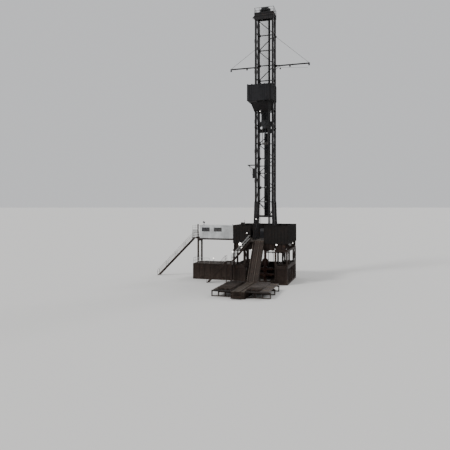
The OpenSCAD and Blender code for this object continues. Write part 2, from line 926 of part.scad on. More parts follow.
// A floodlight boom: two chords and a zigzag, from the back leg outwards.
module light_boom(s, reach) {
    x0 = leg_x + leg / 2;
    bays = 8;
    pitch = (reach - x0) / bays;
    intersection() {
        union() {
            for (z = [boom_z + boom_t / 2, boom_z + boom_h - boom_t / 2])
                bar([s * (x0 - 50), back_y, z], [s * reach, back_y, z], boom_t);
            for (i = [0 : bays - 1]) {
                up = i % 2 == 0;
                low = boom_z + boom_t / 2;
                high = boom_z + boom_h - boom_t / 2;
                bar([s * (x0 + i * pitch), back_y, up ? low : high],
                    [s * (x0 + (i + 1) * pitch), back_y, up ? high : low],
                    boom_t * 0.6);
            }
            for (x = [x0 + boom_t / 2, reach - boom_t / 2])
                bar([s * x, back_y, boom_z], [s * x, back_y, boom_z + boom_h], boom_t);
        }
        block(s < 0 ? [-reach, -big, boom_z] : [x0, -big, boom_z],
            s < 0 ? [-x0, big, boom_z + boom_h] : [reach, big, boom_z + boom_h]);
    }
    knee = 400;
    translate([0, back_y + boom_t / 2, 0])
        rotate([90, 0, 0])
            linear_extrude(boom_t)
                polygon([
                    [s * x0, boom_z - 300], [s * (x0 + knee), boom_z], [s * (x0 + knee - 60), boom_z],
                    [s * x0, boom_z - 255],
                ]);
}

module light_boom_left() {
    color(steel)
        light_boom(-1, boom_left);
}

module light_boom_right() {
    color(steel)
        light_boom(1, boom_right);
}

// Taut stays from the back legs to the boom tips.
stay_d = 24;
stay_left_z = mast_top - 2580;
stay_right_z = mast_top - 1680;

module boom_stay(s, reach, z) {
    outer = leg_x + leg / 2;
    intersection() {
        bar([s * (outer - 60), back_y, z], [s * (reach - 50), back_y, boom_z + boom_h - 30], stay_d);
        block(s < 0 ? [-reach, -big, boom_z + boom_h] : [outer, -big, boom_z + boom_h],
            s < 0 ? [-outer, big, big] : [reach, big, big]);
    }
}

module boom_stays() {
    color(steel) {
        boom_stay(-1, boom_left, stay_left_z);
        boom_stay(1, boom_right, stay_right_z);
    }
}

// Lamp housings, each given by the middle of its underside.
lamp_w = 150;
lamp_d = 90;
lamp_h = 130;

module lamp(x, y, z) {
    block([x - lamp_w / 2, y - lamp_d / 2, z], [x + lamp_w / 2, y + lamp_d / 2, z + lamp_h]);
}

module boom_lamp(s, reach, drop) {
    x = s * (reach - lamp_w / 2);
    block([x - 15, back_y - 15, boom_z - drop], [x + 15, back_y + 15, boom_z]);
    lamp(x, back_y, boom_z - drop - lamp_h);
}

// Lamps at the boom tips, under the windwalls, by the V-door, on a foot leg, on the tank and under the board.
module floodlights() {
    wall_lamp_x = v_door_left - rib_w / 2 - rib_pitch(v_door_left + half_floor);
    tank_lamp_x = dog_x0 + 1485;
    tank_lamp_up = 385;
    color(steel) {
        boom_lamp(-1, boom_left, 40);
        boom_lamp(1, boom_right, 20);
        for (x = [-1850, 1570])
            lamp(x, -floor_front - lamp_d / 2, skirt_z - lamp_h);
        lamp(half_floor + lamp_w / 2, 200, skirt_z - lamp_h);
        lamp(wall_lamp_x, -floor_front - wall_t - lamp_d / 2, floor_top + 670);
        lamp(-leg_x + 75, front_y - foot_leg / 2 - lamp_d / 2, floor_top + 1925);
        block([tank_lamp_x - 15, dog_y - 55, tank_h], [tank_lamp_x + 15, dog_y - 25, tank_h + tank_lamp_up]);
        lamp(tank_lamp_x, dog_y - 40, tank_h + tank_lamp_up);
        lamp(-610, board_y0 - board_beam / 2, board_z - lamp_h);
        lamp(-360, brace_at(brace_low).y, brace_at(brace_low).z);
    }
}

// The travelling gear, built up from the underside of the elevator.
links_z = elevator_z + 160;
drive_z = links_z + 1240;
block_z = drive_z + 2500;
block_shaft = block_z + 560;
block_top = block_shaft + sheave_r;

module elevator_links() {
    color(steel) {
        difference() {
            translate([0, 0, elevator_z])
                cylinder(r = 190, h = 220, $fn = 64);
            translate([0, 0, elevator_z - 1])
                cylinder(r = 45, h = 222, $fn = 48);
        }
        for (s = [-1, 1]) {
            translate([s * 260, 0, elevator_z + 60])
                cylinder(r = 30, h = drive_z + 150 - elevator_z - 60, $fn = 32);
            block([min(s * 100, s * 290), -50, elevator_z + 30], [max(s * 100, s * 290), 50, elevator_z + 170]);
        }
    }
}

// The top drive: gearbox, motor, pipe handler and quill, with the links' yoke.
drive_back = 320;

module top_drive() {
    color(grey) {
        translate([0, 0, drive_z + 150])
            cylinder(r = 300, h = 300, $fn = 64);
        block([-330, -300, drive_z + 450], [330, drive_back, drive_z + 950]);
        for (s = [-1, 1])
            block([s * 350 - 30, -60, drive_z + 950], [s * 350 + 30, 60, drive_z + 2480]);
        block([-380, -60, drive_z + 2380], [380, 60, drive_z + 2500]);
        for (s = [-1, 1])
            translate([s * 190, 0, drive_z + 950])
                cylinder(r = 170, h = 800, $fn = 48);
        block([-380, -120, drive_z + 1750], [380, 120, drive_z + 1900]);
        translate([0, 0, drive_z + 950])
            cylinder(r = 80, h = 1300, $fn = 48);
        translate([0, 0, drive_z - 500])
            cylinder(r = 55, h = 700, $fn = 48);
        translate([0, 0, drive_z + 2250])
            cylinder(r = 110, h = 250, $fn = 48);
    }
}

// The carriage: two cross plates and uprights, and shoes on both sides of the guide beam.
module guide_carriage() {
    low_z = drive_z - 170;
    low_h = 340;
    high_z = drive_z + 480;
    high_h = 440;
    plate_t = 70;
    shoe = 60;
    color(steel) {
        for (zone = [[low_z, low_h], [high_z, high_h]])
            block([-carriage_w / 2, drive_back, zone[0]],
                [carriage_w / 2, drive_back + plate_t, zone[0] + zone[1]]);
        for (x = [-carriage_w / 2, carriage_w / 2 - shoe])
            block([x, drive_back, low_z], [x + shoe, drive_back + plate_t, high_z + high_h]);
        for (x = [guide_x - guide_w / 2 - guide_gap - shoe, guide_x + guide_w / 2 + guide_gap])
            block([x, drive_back, low_z], [x + shoe, guide_front + guide_d - 20, high_z + high_h]);
    }
}

// The travelling block: side plates and sheaves.
module travelling_block() {
    color(grey) {
        for (s = [-1, 1])
            translate([s * (bearing_x - 30) - 20, 0, 0])
                rotate([90, 0, 90])
                    linear_extrude(40)
                        polygon([
                            [-150, block_z], [150, block_z], [300, block_shaft - 150],
                            [300, block_shaft + 150], [160, block_top - 20], [-160, block_top - 20],
                            [-300, block_shaft + 150], [-300, block_shaft - 150],
                        ]);
        translate([0, 0, block_shaft]) {
            for (i = [0 : sheave_count - 1])
                translate([(i - (sheave_count - 1) / 2) * sheave_pitch, 0, 0])
                    sheave(sheave_r);
            rotate([0, 90, 0])
                translate([0, 0, -bearing_x])
                    cylinder(r = 60, h = 2 * bearing_x, $fn = 48);
        }
        block([-bearing_x + 30, -150, block_z], [bearing_x - 30, 150, block_z + 120]);
    }
}

// The parts of the drilling line between the crown and the travelling block.
module drilling_line() {
    color(steel)
        for (i = [0 : sheave_count - 1], s = [-1, 1])
            translate([(i - (sheave_count - 1) / 2) * sheave_pitch, s * (sheave_r - line_d / 2), block_shaft])
                cylinder(d = line_d, h = shaft_z - block_shaft, $fn = 16);
}

// Stands of drill pipe set back on the floor, side by side in the board's first finger slot.
stand_r = 32;
stand_count = 3;
stand_x = 730;
joint_r = 38;
single_l = 4500;

// One stand from its foot up: three singles, each with a thicker tool joint at both ends.
module stand() {
    joint_h = 160;
    taper = 30;
    top = board_z + 400 - floor_top;
    rotate_extrude($fn = 24)
        polygon([
            [0, 0], [joint_r, 0], [joint_r, joint_h], [stand_r, joint_h + taper],
            for (i = [1 : 2], p = [
                [stand_r, -joint_h - taper], [joint_r, -joint_h],
                [joint_r, joint_h], [stand_r, joint_h + taper],
            ]) [p.x, i * single_l + p.y],
            [stand_r, top - 250 - taper], [joint_r, top - 250], [joint_r, top], [0, top],
        ]);
}

module racked_pipe() {
    color(steel)
        for (i = [0 : stand_count - 1])
            translate([stand_x + i * (2 * joint_r + 1), board_y1 + board_beam + finger_gap / 2, floor_top])
                stand();
}

// The hoist at the back of the floor: a flanged drum between two chamfered housings on a skid.
module drawworks() {
    y = floor_back - 800;
    shaft_up = 420;
    gap = 500;
    housing_w = 400;
    color(dark) {
        block([-1000, y - 450, floor_top], [1000, y + 450, floor_top + 100]);
        for (s = [-1, 1])
            translate([s * (gap + housing_w / 2) - housing_w / 2, y, floor_top + 100])
                rotate([90, 0, 90])
                    linear_extrude(housing_w)
                        polygon([
                            [-400, 0], [400, 0], [400, 600], [200, 850], [-200, 850], [-400, 600],
                        ]);
        translate([-gap, y, floor_top + 100 + shaft_up])
            rotate([0, 90, 0])
                rotate_extrude($fn = 64)
                    polygon([
                        [0, 0], [360, 0], [360, 40], [220, 50], [220, 2 * gap - 50],
                        [360, 2 * gap - 40], [360, 2 * gap], [0, 2 * gap],
                    ]);
    }
}

// The doghouse beside the drill floor.
dog_x1 = -half_floor;
dog_x0 = dog_x1 - dog_l;
dog_y1 = dog_y + dog_d;
dog_floor_t = 100;
land_w = 850;
dog_roof_t = 60;
window_z = floor_top + 715;
window_h = 335;
windows = [[230, 770], [1520, 750]];

module doghouse_floor() {
    color(grey)
        block([dog_x0, dog_y, floor_top - dog_floor_t], [dog_x1, dog_y1, floor_top]);
}

module doghouse_walls() {
    z0 = floor_top;
    z1 = floor_top + dog_h - dog_roof_t;
    color(pale)
        difference() {
            block([dog_x0, dog_y, z0], [dog_x1, dog_y1, z1]);
            block([dog_x0 + dog_t, dog_y + dog_t, z0 - 1], [dog_x1 - dog_t, dog_y1 - dog_t, z1 + 1]);
            for (w = windows)
                block([dog_x0 + w[0], dog_y - 1, window_z],
                    [dog_x0 + w[0] + w[1], dog_y + dog_t + 1, window_z + window_h]);
            for (x = [dog_x0, dog_x1 - dog_t])
                block([x - 1, dog_door_y, z0 - 1],
                    [x + dog_t + 1, dog_door_y + dog_door_w, z0 + dog_door_h]);
        }
}

module doghouse_roof() {
    z1 = floor_top + dog_h;
    color(pale)
        block([dog_x0 - 20, dog_y - 20, z1 - dog_roof_t], [dog_x1, dog_y1 + 20, z1]);
}

module doghouse_windows() {
    color("black")
        for (w = windows)
            block([dog_x0 + w[0], dog_y + 15, window_z],
                [dog_x0 + w[0] + w[1], dog_y + 25, window_z + window_h]);
}

module doghouse_door() {
    color(grey)
        block([dog_x0 + 5, dog_door_y, floor_top],
            [dog_x0 + 35, dog_door_y + dog_door_w, floor_top + dog_door_h]);
}

tank_h = 1550;
tank_roof_t = 20;
post_x = dog_x0 - 215;
post_w = 150;
tank_x0 = post_x - post_w / 2 - 95;
tank_x1 = dog_x1 - 500;
tank_y0 = dog_y - 1000;
tank_y1 = dog_y1 + 250;

// Two posts beside the doghouse's outer end with cap beams under it, and two knee brackets at the drill floor.
module doghouse_posts() {
    z1 = floor_top - dog_floor_t;
    cap_x0 = post_x - post_w / 2 - 10;
    cap_z = z1 - 100;
    knee = 550;
    color(brown) {
        for (y = [dog_y, dog_y1 - post_w]) {
            block([post_x - post_w / 2, y, tank_h], [post_x + post_w / 2, y + post_w, cap_z]);
            translate([0, y + post_w, 0])
                rotate([90, 0, 0])
                    linear_extrude(post_w)
                        polygon([
                            [cap_x0, cap_z], [dog_x0 + 100, cap_z], [dog_x0 + 100, z1], [dog_x0, z1],
                            [dog_x0, floor_top - land_t], [cap_x0, floor_top - land_t],
                        ]);
        }
        block([post_x - 35, dog_y + post_w, cap_z - 100], [post_x + 35, dog_y1 - post_w, cap_z]);
        for (y = [dog_y + 100, dog_y1 - 20])
            translate([0, y, 0])
                rotate([90, 0, 0])
                    linear_extrude(80)
                        polygon([
                            [dog_x1, z1], [dog_x1 - knee, z1], [dog_x1 - knee, z1 - 60], [dog_x1, z1 - knee],
                        ]);
    }
}

// A ribbed steel tank on two skids, open at the top, closed by a roof plate of its own.
module doghouse_tank() {
    rib = 80;
    rib_count = 7;
    wall = 20;
    skid_h = 100;
    z1 = tank_h - tank_roof_t;
    color(brown) {
        for (y = [tank_y0, tank_y1 - 150])
            block([tank_x0, y, 0], [tank_x1, y + 150, skid_h]);
        difference() {
            union() {
                block([tank_x0 + 40, tank_y0 + 40, skid_h], [tank_x1 - 40, tank_y1 - 40, z1]);
                for (i = [0 : rib_count])
                    block([tank_x0 + i * (tank_x1 - tank_x0 - rib) / rib_count, tank_y0, skid_h],
                        [tank_x0 + i * (tank_x1 - tank_x0 - rib) / rib_count + rib, tank_y1, z1]);
            }
            block([tank_x0 + 40 + wall, tank_y0 + 40 + wall, skid_h + wall],
                [tank_x1 - 40 - wall, tank_y1 - 40 - wall, tank_h + 1]);
        }
    }
}

module doghouse_tank_roof() {
    color(brown)
        block([tank_x0, tank_y0, tank_h - tank_roof_t], [tank_x1, tank_y1, tank_h]);
}

// The landing outside the doghouse, carried on the posts' cap beams, with its rails.
land_x0 = dog_x0 - land_w;
land_t = 60;

module landing() {
    stair_y0 = dog_door_y;
    stair_y1 = dog_door_y + stair_w;
    color(brown) {
        block([land_x0, dog_y, floor_top - land_t], [dog_x0, dog_y1, floor_top]);
        rail_line([[dog_x0 - 100, dog_y + rail, floor_top], [land_x0 + rail, dog_y + rail, floor_top],
            [land_x0 + rail, stair_y0 - rail, floor_top]]);
        rail_line([[dog_x0 - 100, dog_y1 - rail, floor_top], [land_x0 + rail, dog_y1 - rail, floor_top],
            [land_x0 + rail, stair_y1 + rail, floor_top]]);
    }
}

// Treads of a flight that goes down towards -X from its head.
tread_t = 16;

module flight_treads(head, steps, going) {
    for (i = [1 : steps - 1])
        translate([head.x - i * going, head.y, head.z - i * rise - tread_t])
            cube([going + 10, stair_w, tread_t]);
}

// A band of the given depth that follows the slope from head to foot, below the line raised by up.
module slope_band(x0, x1, foot, slope, up, depth) {
    z0 = foot.z + (x0 - foot.x) * slope + up;
    z1 = foot.z + (x1 - foot.x) * slope + up;
    polygon([[x0, z0 - depth], [x1, z1 - depth], [x1, z1], [x0, z0]]);
}

// The two sides of a flight: stringer, posts and handrails, cut level at the foot.
module flight_sides(head, steps, going) {
    foot = [head.x - steps * going, head.y, head.z - steps * rise];
    t = 20;
    slope = rise / going;
    drop = stringer / cos(atan(slope));
    posts = 5;
    post_pitch = (head.x - foot.x - rail) / (posts - 1);
    for (y = [head.y - t, head.y + stair_w])
        translate([0, y + t, 0])
            rotate([90, 0, 0])
                linear_extrude(t)
                    difference() {
                        union() {
                            slope_band(foot.x, head.x, foot, slope, 0, drop);
                            for (up = [rail_h / 2, rail_h])
                                slope_band(foot.x, head.x, foot, slope, up, rail);
                            for (i = [0 : posts - 1])
                                slope_band(foot.x + i * post_pitch, foot.x + i * post_pitch + rail, foot, slope,
                                    rail_h - rail / 2, rail_h);
                        }
                        translate([foot.x - big, foot.z - big])
                            square([2 * big, big]);
                    }
}

main_head = [land_x0, dog_door_y, floor_top];
main_steps = floor(floor_top / rise);

module main_stair_treads() {
    color(brown)
        flight_treads(main_head, main_steps, rise);
}

module main_stair_sides() {
    color(brown)
        flight_sides(main_head, main_steps, rise);
}

front_going = 90;
front_upper_steps = 19;
front_lower_steps = main_steps - front_upper_steps;
front_y0 = -floor_front - wall_t - stair_w - 25;
front_head = [v_door_left, front_y0, floor_top];
front_mid = [front_head.x - front_upper_steps * front_going, front_y0, floor_top - front_upper_steps * rise];
front_landing = 550;
front_low = [front_mid.x - front_landing, front_y0, front_mid.z];

module front_stair_treads() {
    color(brown) {
        flight_treads(front_head, front_upper_steps, front_going);
        flight_treads(front_low, front_lower_steps, front_going);
    }
}

module front_stair_sides() {
    t = 20;
    color(brown) {
        flight_sides(front_head, front_upper_steps, front_going);
        flight_sides(front_low, front_lower_steps, front_going);
        block([front_low.x, front_y0 - t, front_mid.z - 60],
            [front_mid.x, front_y0 + stair_w + t, front_mid.z]);
        block([front_head.x, front_y0 - t, floor_top - 60],
            [front_head.x + door_gap - 10, -floor_front, floor_top]);
        for (x = [front_low.x + 20, front_mid.x - 80])
            block([x, front_y0, 0], [x + 80, front_y0 + 80, front_mid.z - 60]);
    }
}

base_box_left();
base_box_right();
base_spreaders();
upper_box_left();
upper_box_right();
floor_frame();
floor_cross_beams();
drill_floor_deck();
rotary_table();
bop_stack();
windwall_front_left();
windwall_front_right();
windwall_left();
windwall_right();
windwall_back();
v_door_ramp();
catwalk();
pipe_rack_left();
pipe_rack_right();
rack_pipe();
mast_foot_left();
mast_foot_right();
torque_beam();
mast_left_side();
mast_right_side();
mast_back_bracing();
guide_beam();
crown_frame();
crown_platform();
crown_sheaves();
racking_board();
board_windwall();
board_braces();
stabbing_board();
light_boom_left();
light_boom_right();
boom_stays();
floodlights();
travelling_block();
top_drive();
guide_carriage();
elevator_links();
drilling_line();
racked_pipe();
drawworks();
doghouse_floor();
doghouse_walls();
doghouse_roof();
doghouse_windows();
doghouse_door();
doghouse_posts();
doghouse_tank();
doghouse_tank_roof();
landing();
main_stair_treads();
main_stair_sides();
front_stair_treads();
front_stair_sides();
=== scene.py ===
"""The looks of a land drilling rig, a 1:2 scale model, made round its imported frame."""

import json
import math
from itertools import product

import bmesh
import bpy
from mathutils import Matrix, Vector


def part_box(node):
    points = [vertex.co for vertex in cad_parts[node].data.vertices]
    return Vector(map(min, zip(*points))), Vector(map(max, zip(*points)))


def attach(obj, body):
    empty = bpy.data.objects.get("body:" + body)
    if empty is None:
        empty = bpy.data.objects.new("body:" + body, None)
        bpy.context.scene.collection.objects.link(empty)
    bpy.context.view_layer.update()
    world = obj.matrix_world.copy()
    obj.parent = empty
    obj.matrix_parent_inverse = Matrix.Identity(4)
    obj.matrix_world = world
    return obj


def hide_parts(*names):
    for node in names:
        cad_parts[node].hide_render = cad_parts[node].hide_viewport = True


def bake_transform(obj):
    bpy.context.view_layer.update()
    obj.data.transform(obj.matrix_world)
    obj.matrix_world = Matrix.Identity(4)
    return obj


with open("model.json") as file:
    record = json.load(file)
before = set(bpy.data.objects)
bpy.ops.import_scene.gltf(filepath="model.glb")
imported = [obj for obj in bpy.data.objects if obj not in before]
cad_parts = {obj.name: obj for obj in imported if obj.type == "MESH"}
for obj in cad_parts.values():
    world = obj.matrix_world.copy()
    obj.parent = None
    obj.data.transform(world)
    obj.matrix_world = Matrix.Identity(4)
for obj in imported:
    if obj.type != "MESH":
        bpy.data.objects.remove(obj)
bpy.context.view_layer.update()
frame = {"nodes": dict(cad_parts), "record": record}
ROOT = "root"
GEAR = "travelling_gear"


# Stage: camera, light and floor

CAMERA_AT = (9.75, -45.85, 7.15)
CAMERA_TURN = 16.8
SENSOR_MM = 36.0
FOCAL_PX = 480.0
FRAME_PX = 450.0
HORIZON_PX = 207.0
FLOOR_RADIUS = 6000.0


def place(name, data):
    """A new object in the scene."""
    thing = bpy.data.objects.new(name, data)
    bpy.context.collection.objects.link(thing)
    return thing


def make_camera():
    """Level, at the height of a low hill, turned a little to the left, as the photograph was taken."""
    data = bpy.data.cameras.new("camera")
    data.sensor_width = SENSOR_MM
    data.lens = SENSOR_MM * FOCAL_PX / FRAME_PX
    data.shift_y = (HORIZON_PX - FRAME_PX / 2) / FRAME_PX
    data.clip_start = 0.1
    data.clip_end = 2 * FLOOR_RADIUS
    camera = place("camera", data)
    camera.location = CAMERA_AT
    camera.rotation_euler = (math.radians(90), 0, math.radians(CAMERA_TURN))
    bpy.context.scene.camera = camera


def make_light():
    """A pale sky all round, a broad soft sun from the front left, and a weaker one from behind."""
    world = bpy.data.worlds.new("studio")
    bpy.context.scene.world = world
    world.use_nodes = True
    sky = world.node_tree.nodes["Background"]
    sky.inputs["Color"].default_value = (0.93, 0.94, 0.96, 1)
    sky.inputs["Strength"].default_value = 0.74
    for name, energy, angle, turn in (("key", 1.7, 12, (52, 0, -38)), ("rim", 1.0, 20, (60, 0, 150))):
        data = bpy.data.lights.new(name, "SUN")
        data.energy = energy
        data.angle = math.radians(angle)
        place(name, data).rotation_euler = [math.radians(t) for t in turn]


def make_floor():
    """A plain pale floor, wide enough for every view."""
    mesh = bpy.data.meshes.new("studio_floor")
    bm = bmesh.new()
    bmesh.ops.create_circle(bm, cap_ends=True, radius=FLOOR_RADIUS, segments=96)
    bm.to_mesh(mesh)
    bm.free()
    floor = place("studio_floor", mesh)
    pale = bpy.data.materials.new("studio_floor")
    pale.use_nodes = True
    shader = pale.node_tree.nodes["Principled BSDF"]
    shader.inputs["Base Color"].default_value = (0.72, 0.71, 0.69, 1)
    shader.inputs["Roughness"].default_value = 0.9
    mesh.materials.append(pale)


make_camera()
make_light()
make_floor()


# Materials

MATERIALS = {}


class Paint:
    """A material in the list above, whose node tree is built one step at a time."""

    def __init__(self, name):
        material = bpy.data.materials.new(name)
        material.use_nodes = True
        MATERIALS[name] = material
        self.tree = material.node_tree
        self.shader = self.tree.nodes["Principled BSDF"]
        self.place = self.step("TexCoord", {}, "Object")
        self.up = self.step("SeparateXYZ", {0: self.step("NewGeometry", {}, "Normal")}, "Z")
        self.height = self.step("SeparateXYZ", {0: self.place}, "Z")

    def give(self, socket, value):
        """Wires an input to another step's output, or gives it a number, a vector or a colour."""
        if isinstance(value, bpy.types.NodeSocket):
            self.tree.links.new(value, socket)
        else:
            socket.default_value = (*value, 1) if socket.type == "RGBA" else value

    def step(self, kind, inputs, output=0, **settings):
        """One of the outputs of a new node."""
        node = self.tree.nodes.new(f"ShaderNode{kind}")
        for key, value in settings.items():
            setattr(node, key, value)
        for key, value in inputs.items():
            self.give(node.inputs[key], value)
        return node.outputs[output]

    def noise(self, scale, detail=4.0, rough=0.55, stretch=(1, 1, 1)):
        mapped = self.step("Mapping", {"Scale": stretch, "Vector": self.place})
        inputs = {"Scale": scale, "Detail": detail, "Roughness": rough, "Vector": mapped}
        return self.step("TexNoise", inputs, "Fac")

    def ramp(self, value, low, high, to_low=0.0, to_high=1.0):
        inputs = {"From Min": low, "From Max": high, "To Min": to_low, "To Max": to_high, "Value": value}
        return self.step("MapRange", inputs, interpolation_type="SMOOTHSTEP")

    def times(self, first, second):
        return self.step("Math", {0: first, 1: second}, operation="MULTIPLY")

    def mix(self, factor, first, second):
        return self.step("Mix", {"Factor": factor, "A": first, "B": second}, "Result", data_type="RGBA")

    def surface(self, **inputs):
        """Sets the shader's inputs, named here with underscores."""
        for name, value in inputs.items():
            self.give(self.shader.inputs[name.replace("_", " ")], value)

    def bump(self, value, strength, distance):
        self.surface(Normal=self.step("Bump", {"Strength": strength, "Distance": distance, "Height": value}))


def shade(color, k):
    """The colour made lighter or darker."""
    return tuple(min(1.0, c * k) for c in color)


DUST = (0.22, 0.17, 0.125)
RUST = (0.17, 0.075, 0.035)
MUD = (0.13, 0.1, 0.075)
MUD_Z = 1.2


def painted_metal(name, color, roughness, dust, rust, streak, coat, mud, gloss):
    """Paint with patchy fading, rain streaks, rust, settled dust and mud splashed up from the ground."""
    p = Paint(name)
    body = p.mix(p.ramp(p.noise(0.9, 6), 0.35, 0.7), shade(color, 0.78), shade(color, 1.22))
    streaks = p.ramp(p.noise(7, 3, 0.6, (1, 1, 0.08)), 0.48, 0.72)
    body = p.mix(p.times(streaks, streak), body, shade(color, 0.45))
    spots = p.ramp(p.noise(5.5, 10, 0.68), 0.57, 0.66)
    body = p.mix(p.times(spots, rust), body, RUST)
    settled = p.times(p.ramp(p.up, 0.25, 0.95), p.ramp(p.noise(2.4, 6), 0.25, 0.75))
    body = p.mix(p.times(settled, dust), body, DUST)
    low = p.times(p.ramp(p.height, 0.0, MUD_Z, 1.0, 0.0), p.ramp(p.noise(3.2, 8), 0.3, 0.7))
    body = p.mix(p.times(low, mud), body, MUD)
    rough = p.ramp(p.noise(3.5, 6), 0.2, 0.8, roughness - 0.13, roughness + 0.17)
    p.surface(Base_Color=body, Roughness=rough, Coat_Weight=coat, Specular_IOR_Level=gloss)
    p.bump(p.noise(55, 4), 0.22, 0.004)


def bare_metal(name, color, roughness, rust):
    """Bare or greased steel with drawn scratches and light rust."""
    p = Paint(name)
    body = p.mix(p.ramp(p.noise(1.7, 6), 0.3, 0.7), shade(color, 0.7), shade(color, 1.25))
    spots = p.ramp(p.noise(8, 9, 0.66), 0.55, 0.68)
    scratches = p.noise(60, 3, 0.6, (1, 1, 0.2))
    rough = p.ramp(scratches, 0.3, 0.75, roughness - 0.12, roughness + 0.2)
    p.surface(Base_Color=p.mix(p.times(spots, rust), body, RUST), Roughness=rough, Metallic=0.6)
    p.bump(scratches, 0.15, 0.002)


def other_paints():
    """Greased wire rope, dusty window glass, weathered wood with a long grain, and a lit lamp's lens."""
    p = Paint("wire_rope")
    wave = p.step("TexWave", {"Scale": 28, "Distortion": 1.5, "Vector": p.place}, "Fac", bands_direction="Z")
    body = p.mix(wave, (0.0275, 0.0275, 0.0275), (0.065, 0.065, 0.065))
    p.surface(Base_Color=body, Metallic=0.7, Roughness=0.5)
    p.bump(wave, 0.5, 0.004)
    p = Paint("window_glass")
    body = p.mix(p.ramp(p.noise(4, 7), 0.35, 0.75), (0.012, 0.014, 0.018), (0.06, 0.055, 0.05))
    p.surface(Base_Color=body, Roughness=p.ramp(p.noise(6, 6), 0.3, 0.8, 0.05, 0.28), Specular_IOR_Level=0.6)
    p = Paint("lath_wood")
    grain = p.noise(26, 8, 0.6, (1, 0.08, 1))
    body = p.mix(p.ramp(grain, 0.35, 0.7), (0.12, 0.09, 0.06), (0.24, 0.18, 0.12))
    p.surface(Base_Color=body, Roughness=0.85)
    p.bump(grain, 0.4, 0.003)
    p = Paint("lamp_lens")
    wave = p.step("TexWave", {"Scale": 30, "Vector": p.place}, "Fac")
    p.surface(Base_Color=p.mix(wave, (0.95, 0.95, 0.92), (0.8, 0.82, 0.85)), Roughness=0.25)
    p.surface(Emission_Color=(1.0, 0.96, 0.88), Emission_Strength=2.5)


# Each paint's colour, roughness, dust, rust, streaks, clear coat, mud and gloss
PAINTS = {
    "base_steel": ((0.022, 0.014, 0.011), 0.66, 0.12, 0.25, 0.5, 0.0, 0.25, 0.2),
    "deck_steel": ((0.036, 0.031, 0.027), 0.62, 0.3, 0.4, 0.5, 0.0, 0.3, 0.2),
    "windwall": ((0.01, 0.008, 0.007), 0.66, 0.12, 0.15, 0.6, 0.0, 0.0, 0.2),
    "mast_steel": ((0.014, 0.013, 0.014), 0.56, 0.12, 0.15, 0.5, 0.0, 0.0, 0.2),
    "board_panel": ((0.014, 0.014, 0.016), 0.62, 0.12, 0.1, 0.8, 0.0, 0.0, 0.2),
    "machine_grey": ((0.024, 0.025, 0.028), 0.45, 0.15, 0.15, 0.5, 0.1, 0.3, 0.2),
    "preventer_paint": ((0.06, 0.024, 0.017), 0.42, 0.3, 0.3, 0.5, 0.2, 0.3, 0.2),
    "lamp_housing": ((0.045, 0.045, 0.05), 0.4, 0.2, 0.1, 0.5, 0.0, 0.3, 0.2),
    "doghouse_paint": ((0.56, 0.57, 0.57), 0.45, 0.35, 0.18, 0.35, 0.0, 0.3, 0.4),
    # Galvanised steel, made this light partly as a painted highlight of the lit handrails
    "galvanised_and_painted_highlight": ((0.4, 0.4, 0.39), 0.5, 0.2, 0.08, 0.2, 0.0, 0.0, 0.5),
}
# Each bare metal's colour, roughness and rust
METALS = {
    "pipe_steel": ((0.046, 0.034, 0.028), 0.55, 0.5),
    "stand_steel": ((0.015, 0.015, 0.016), 0.6, 0.03),
    "bright_steel": ((0.075, 0.07, 0.066), 0.42, 0.4),
    # Worn steel, made this light partly as a painted highlight of the ramp's lit rails
    "worn_steel_and_painted_highlight": ((0.1, 0.082, 0.068), 0.55, 0.3),
}

for name, values in PAINTS.items():
    painted_metal(name, *values)
for name, values in METALS.items():
    bare_metal(name, *values)
other_paints()
for row in frame["record"]["subparts"]:
    shown = frame["nodes"][row["node"]].data.materials
    shown.clear()
    shown.append(MATERIALS[row["material_slot"]])


# Building with simple solids

RIGHT = (1, 0, 0)
AHEAD = (0, 1, 0)
UP = (0, 0, 1)
BOTH = (-1, 1)


def each(build):
    """Lets one or more arguments be lists, and builds a solid for each combination of their values."""
    def build_all(piece, *args):
        for values in product(*(arg if isinstance(arg, list) else [arg] for arg in args)):
            build(piece, *values)
    return build_all


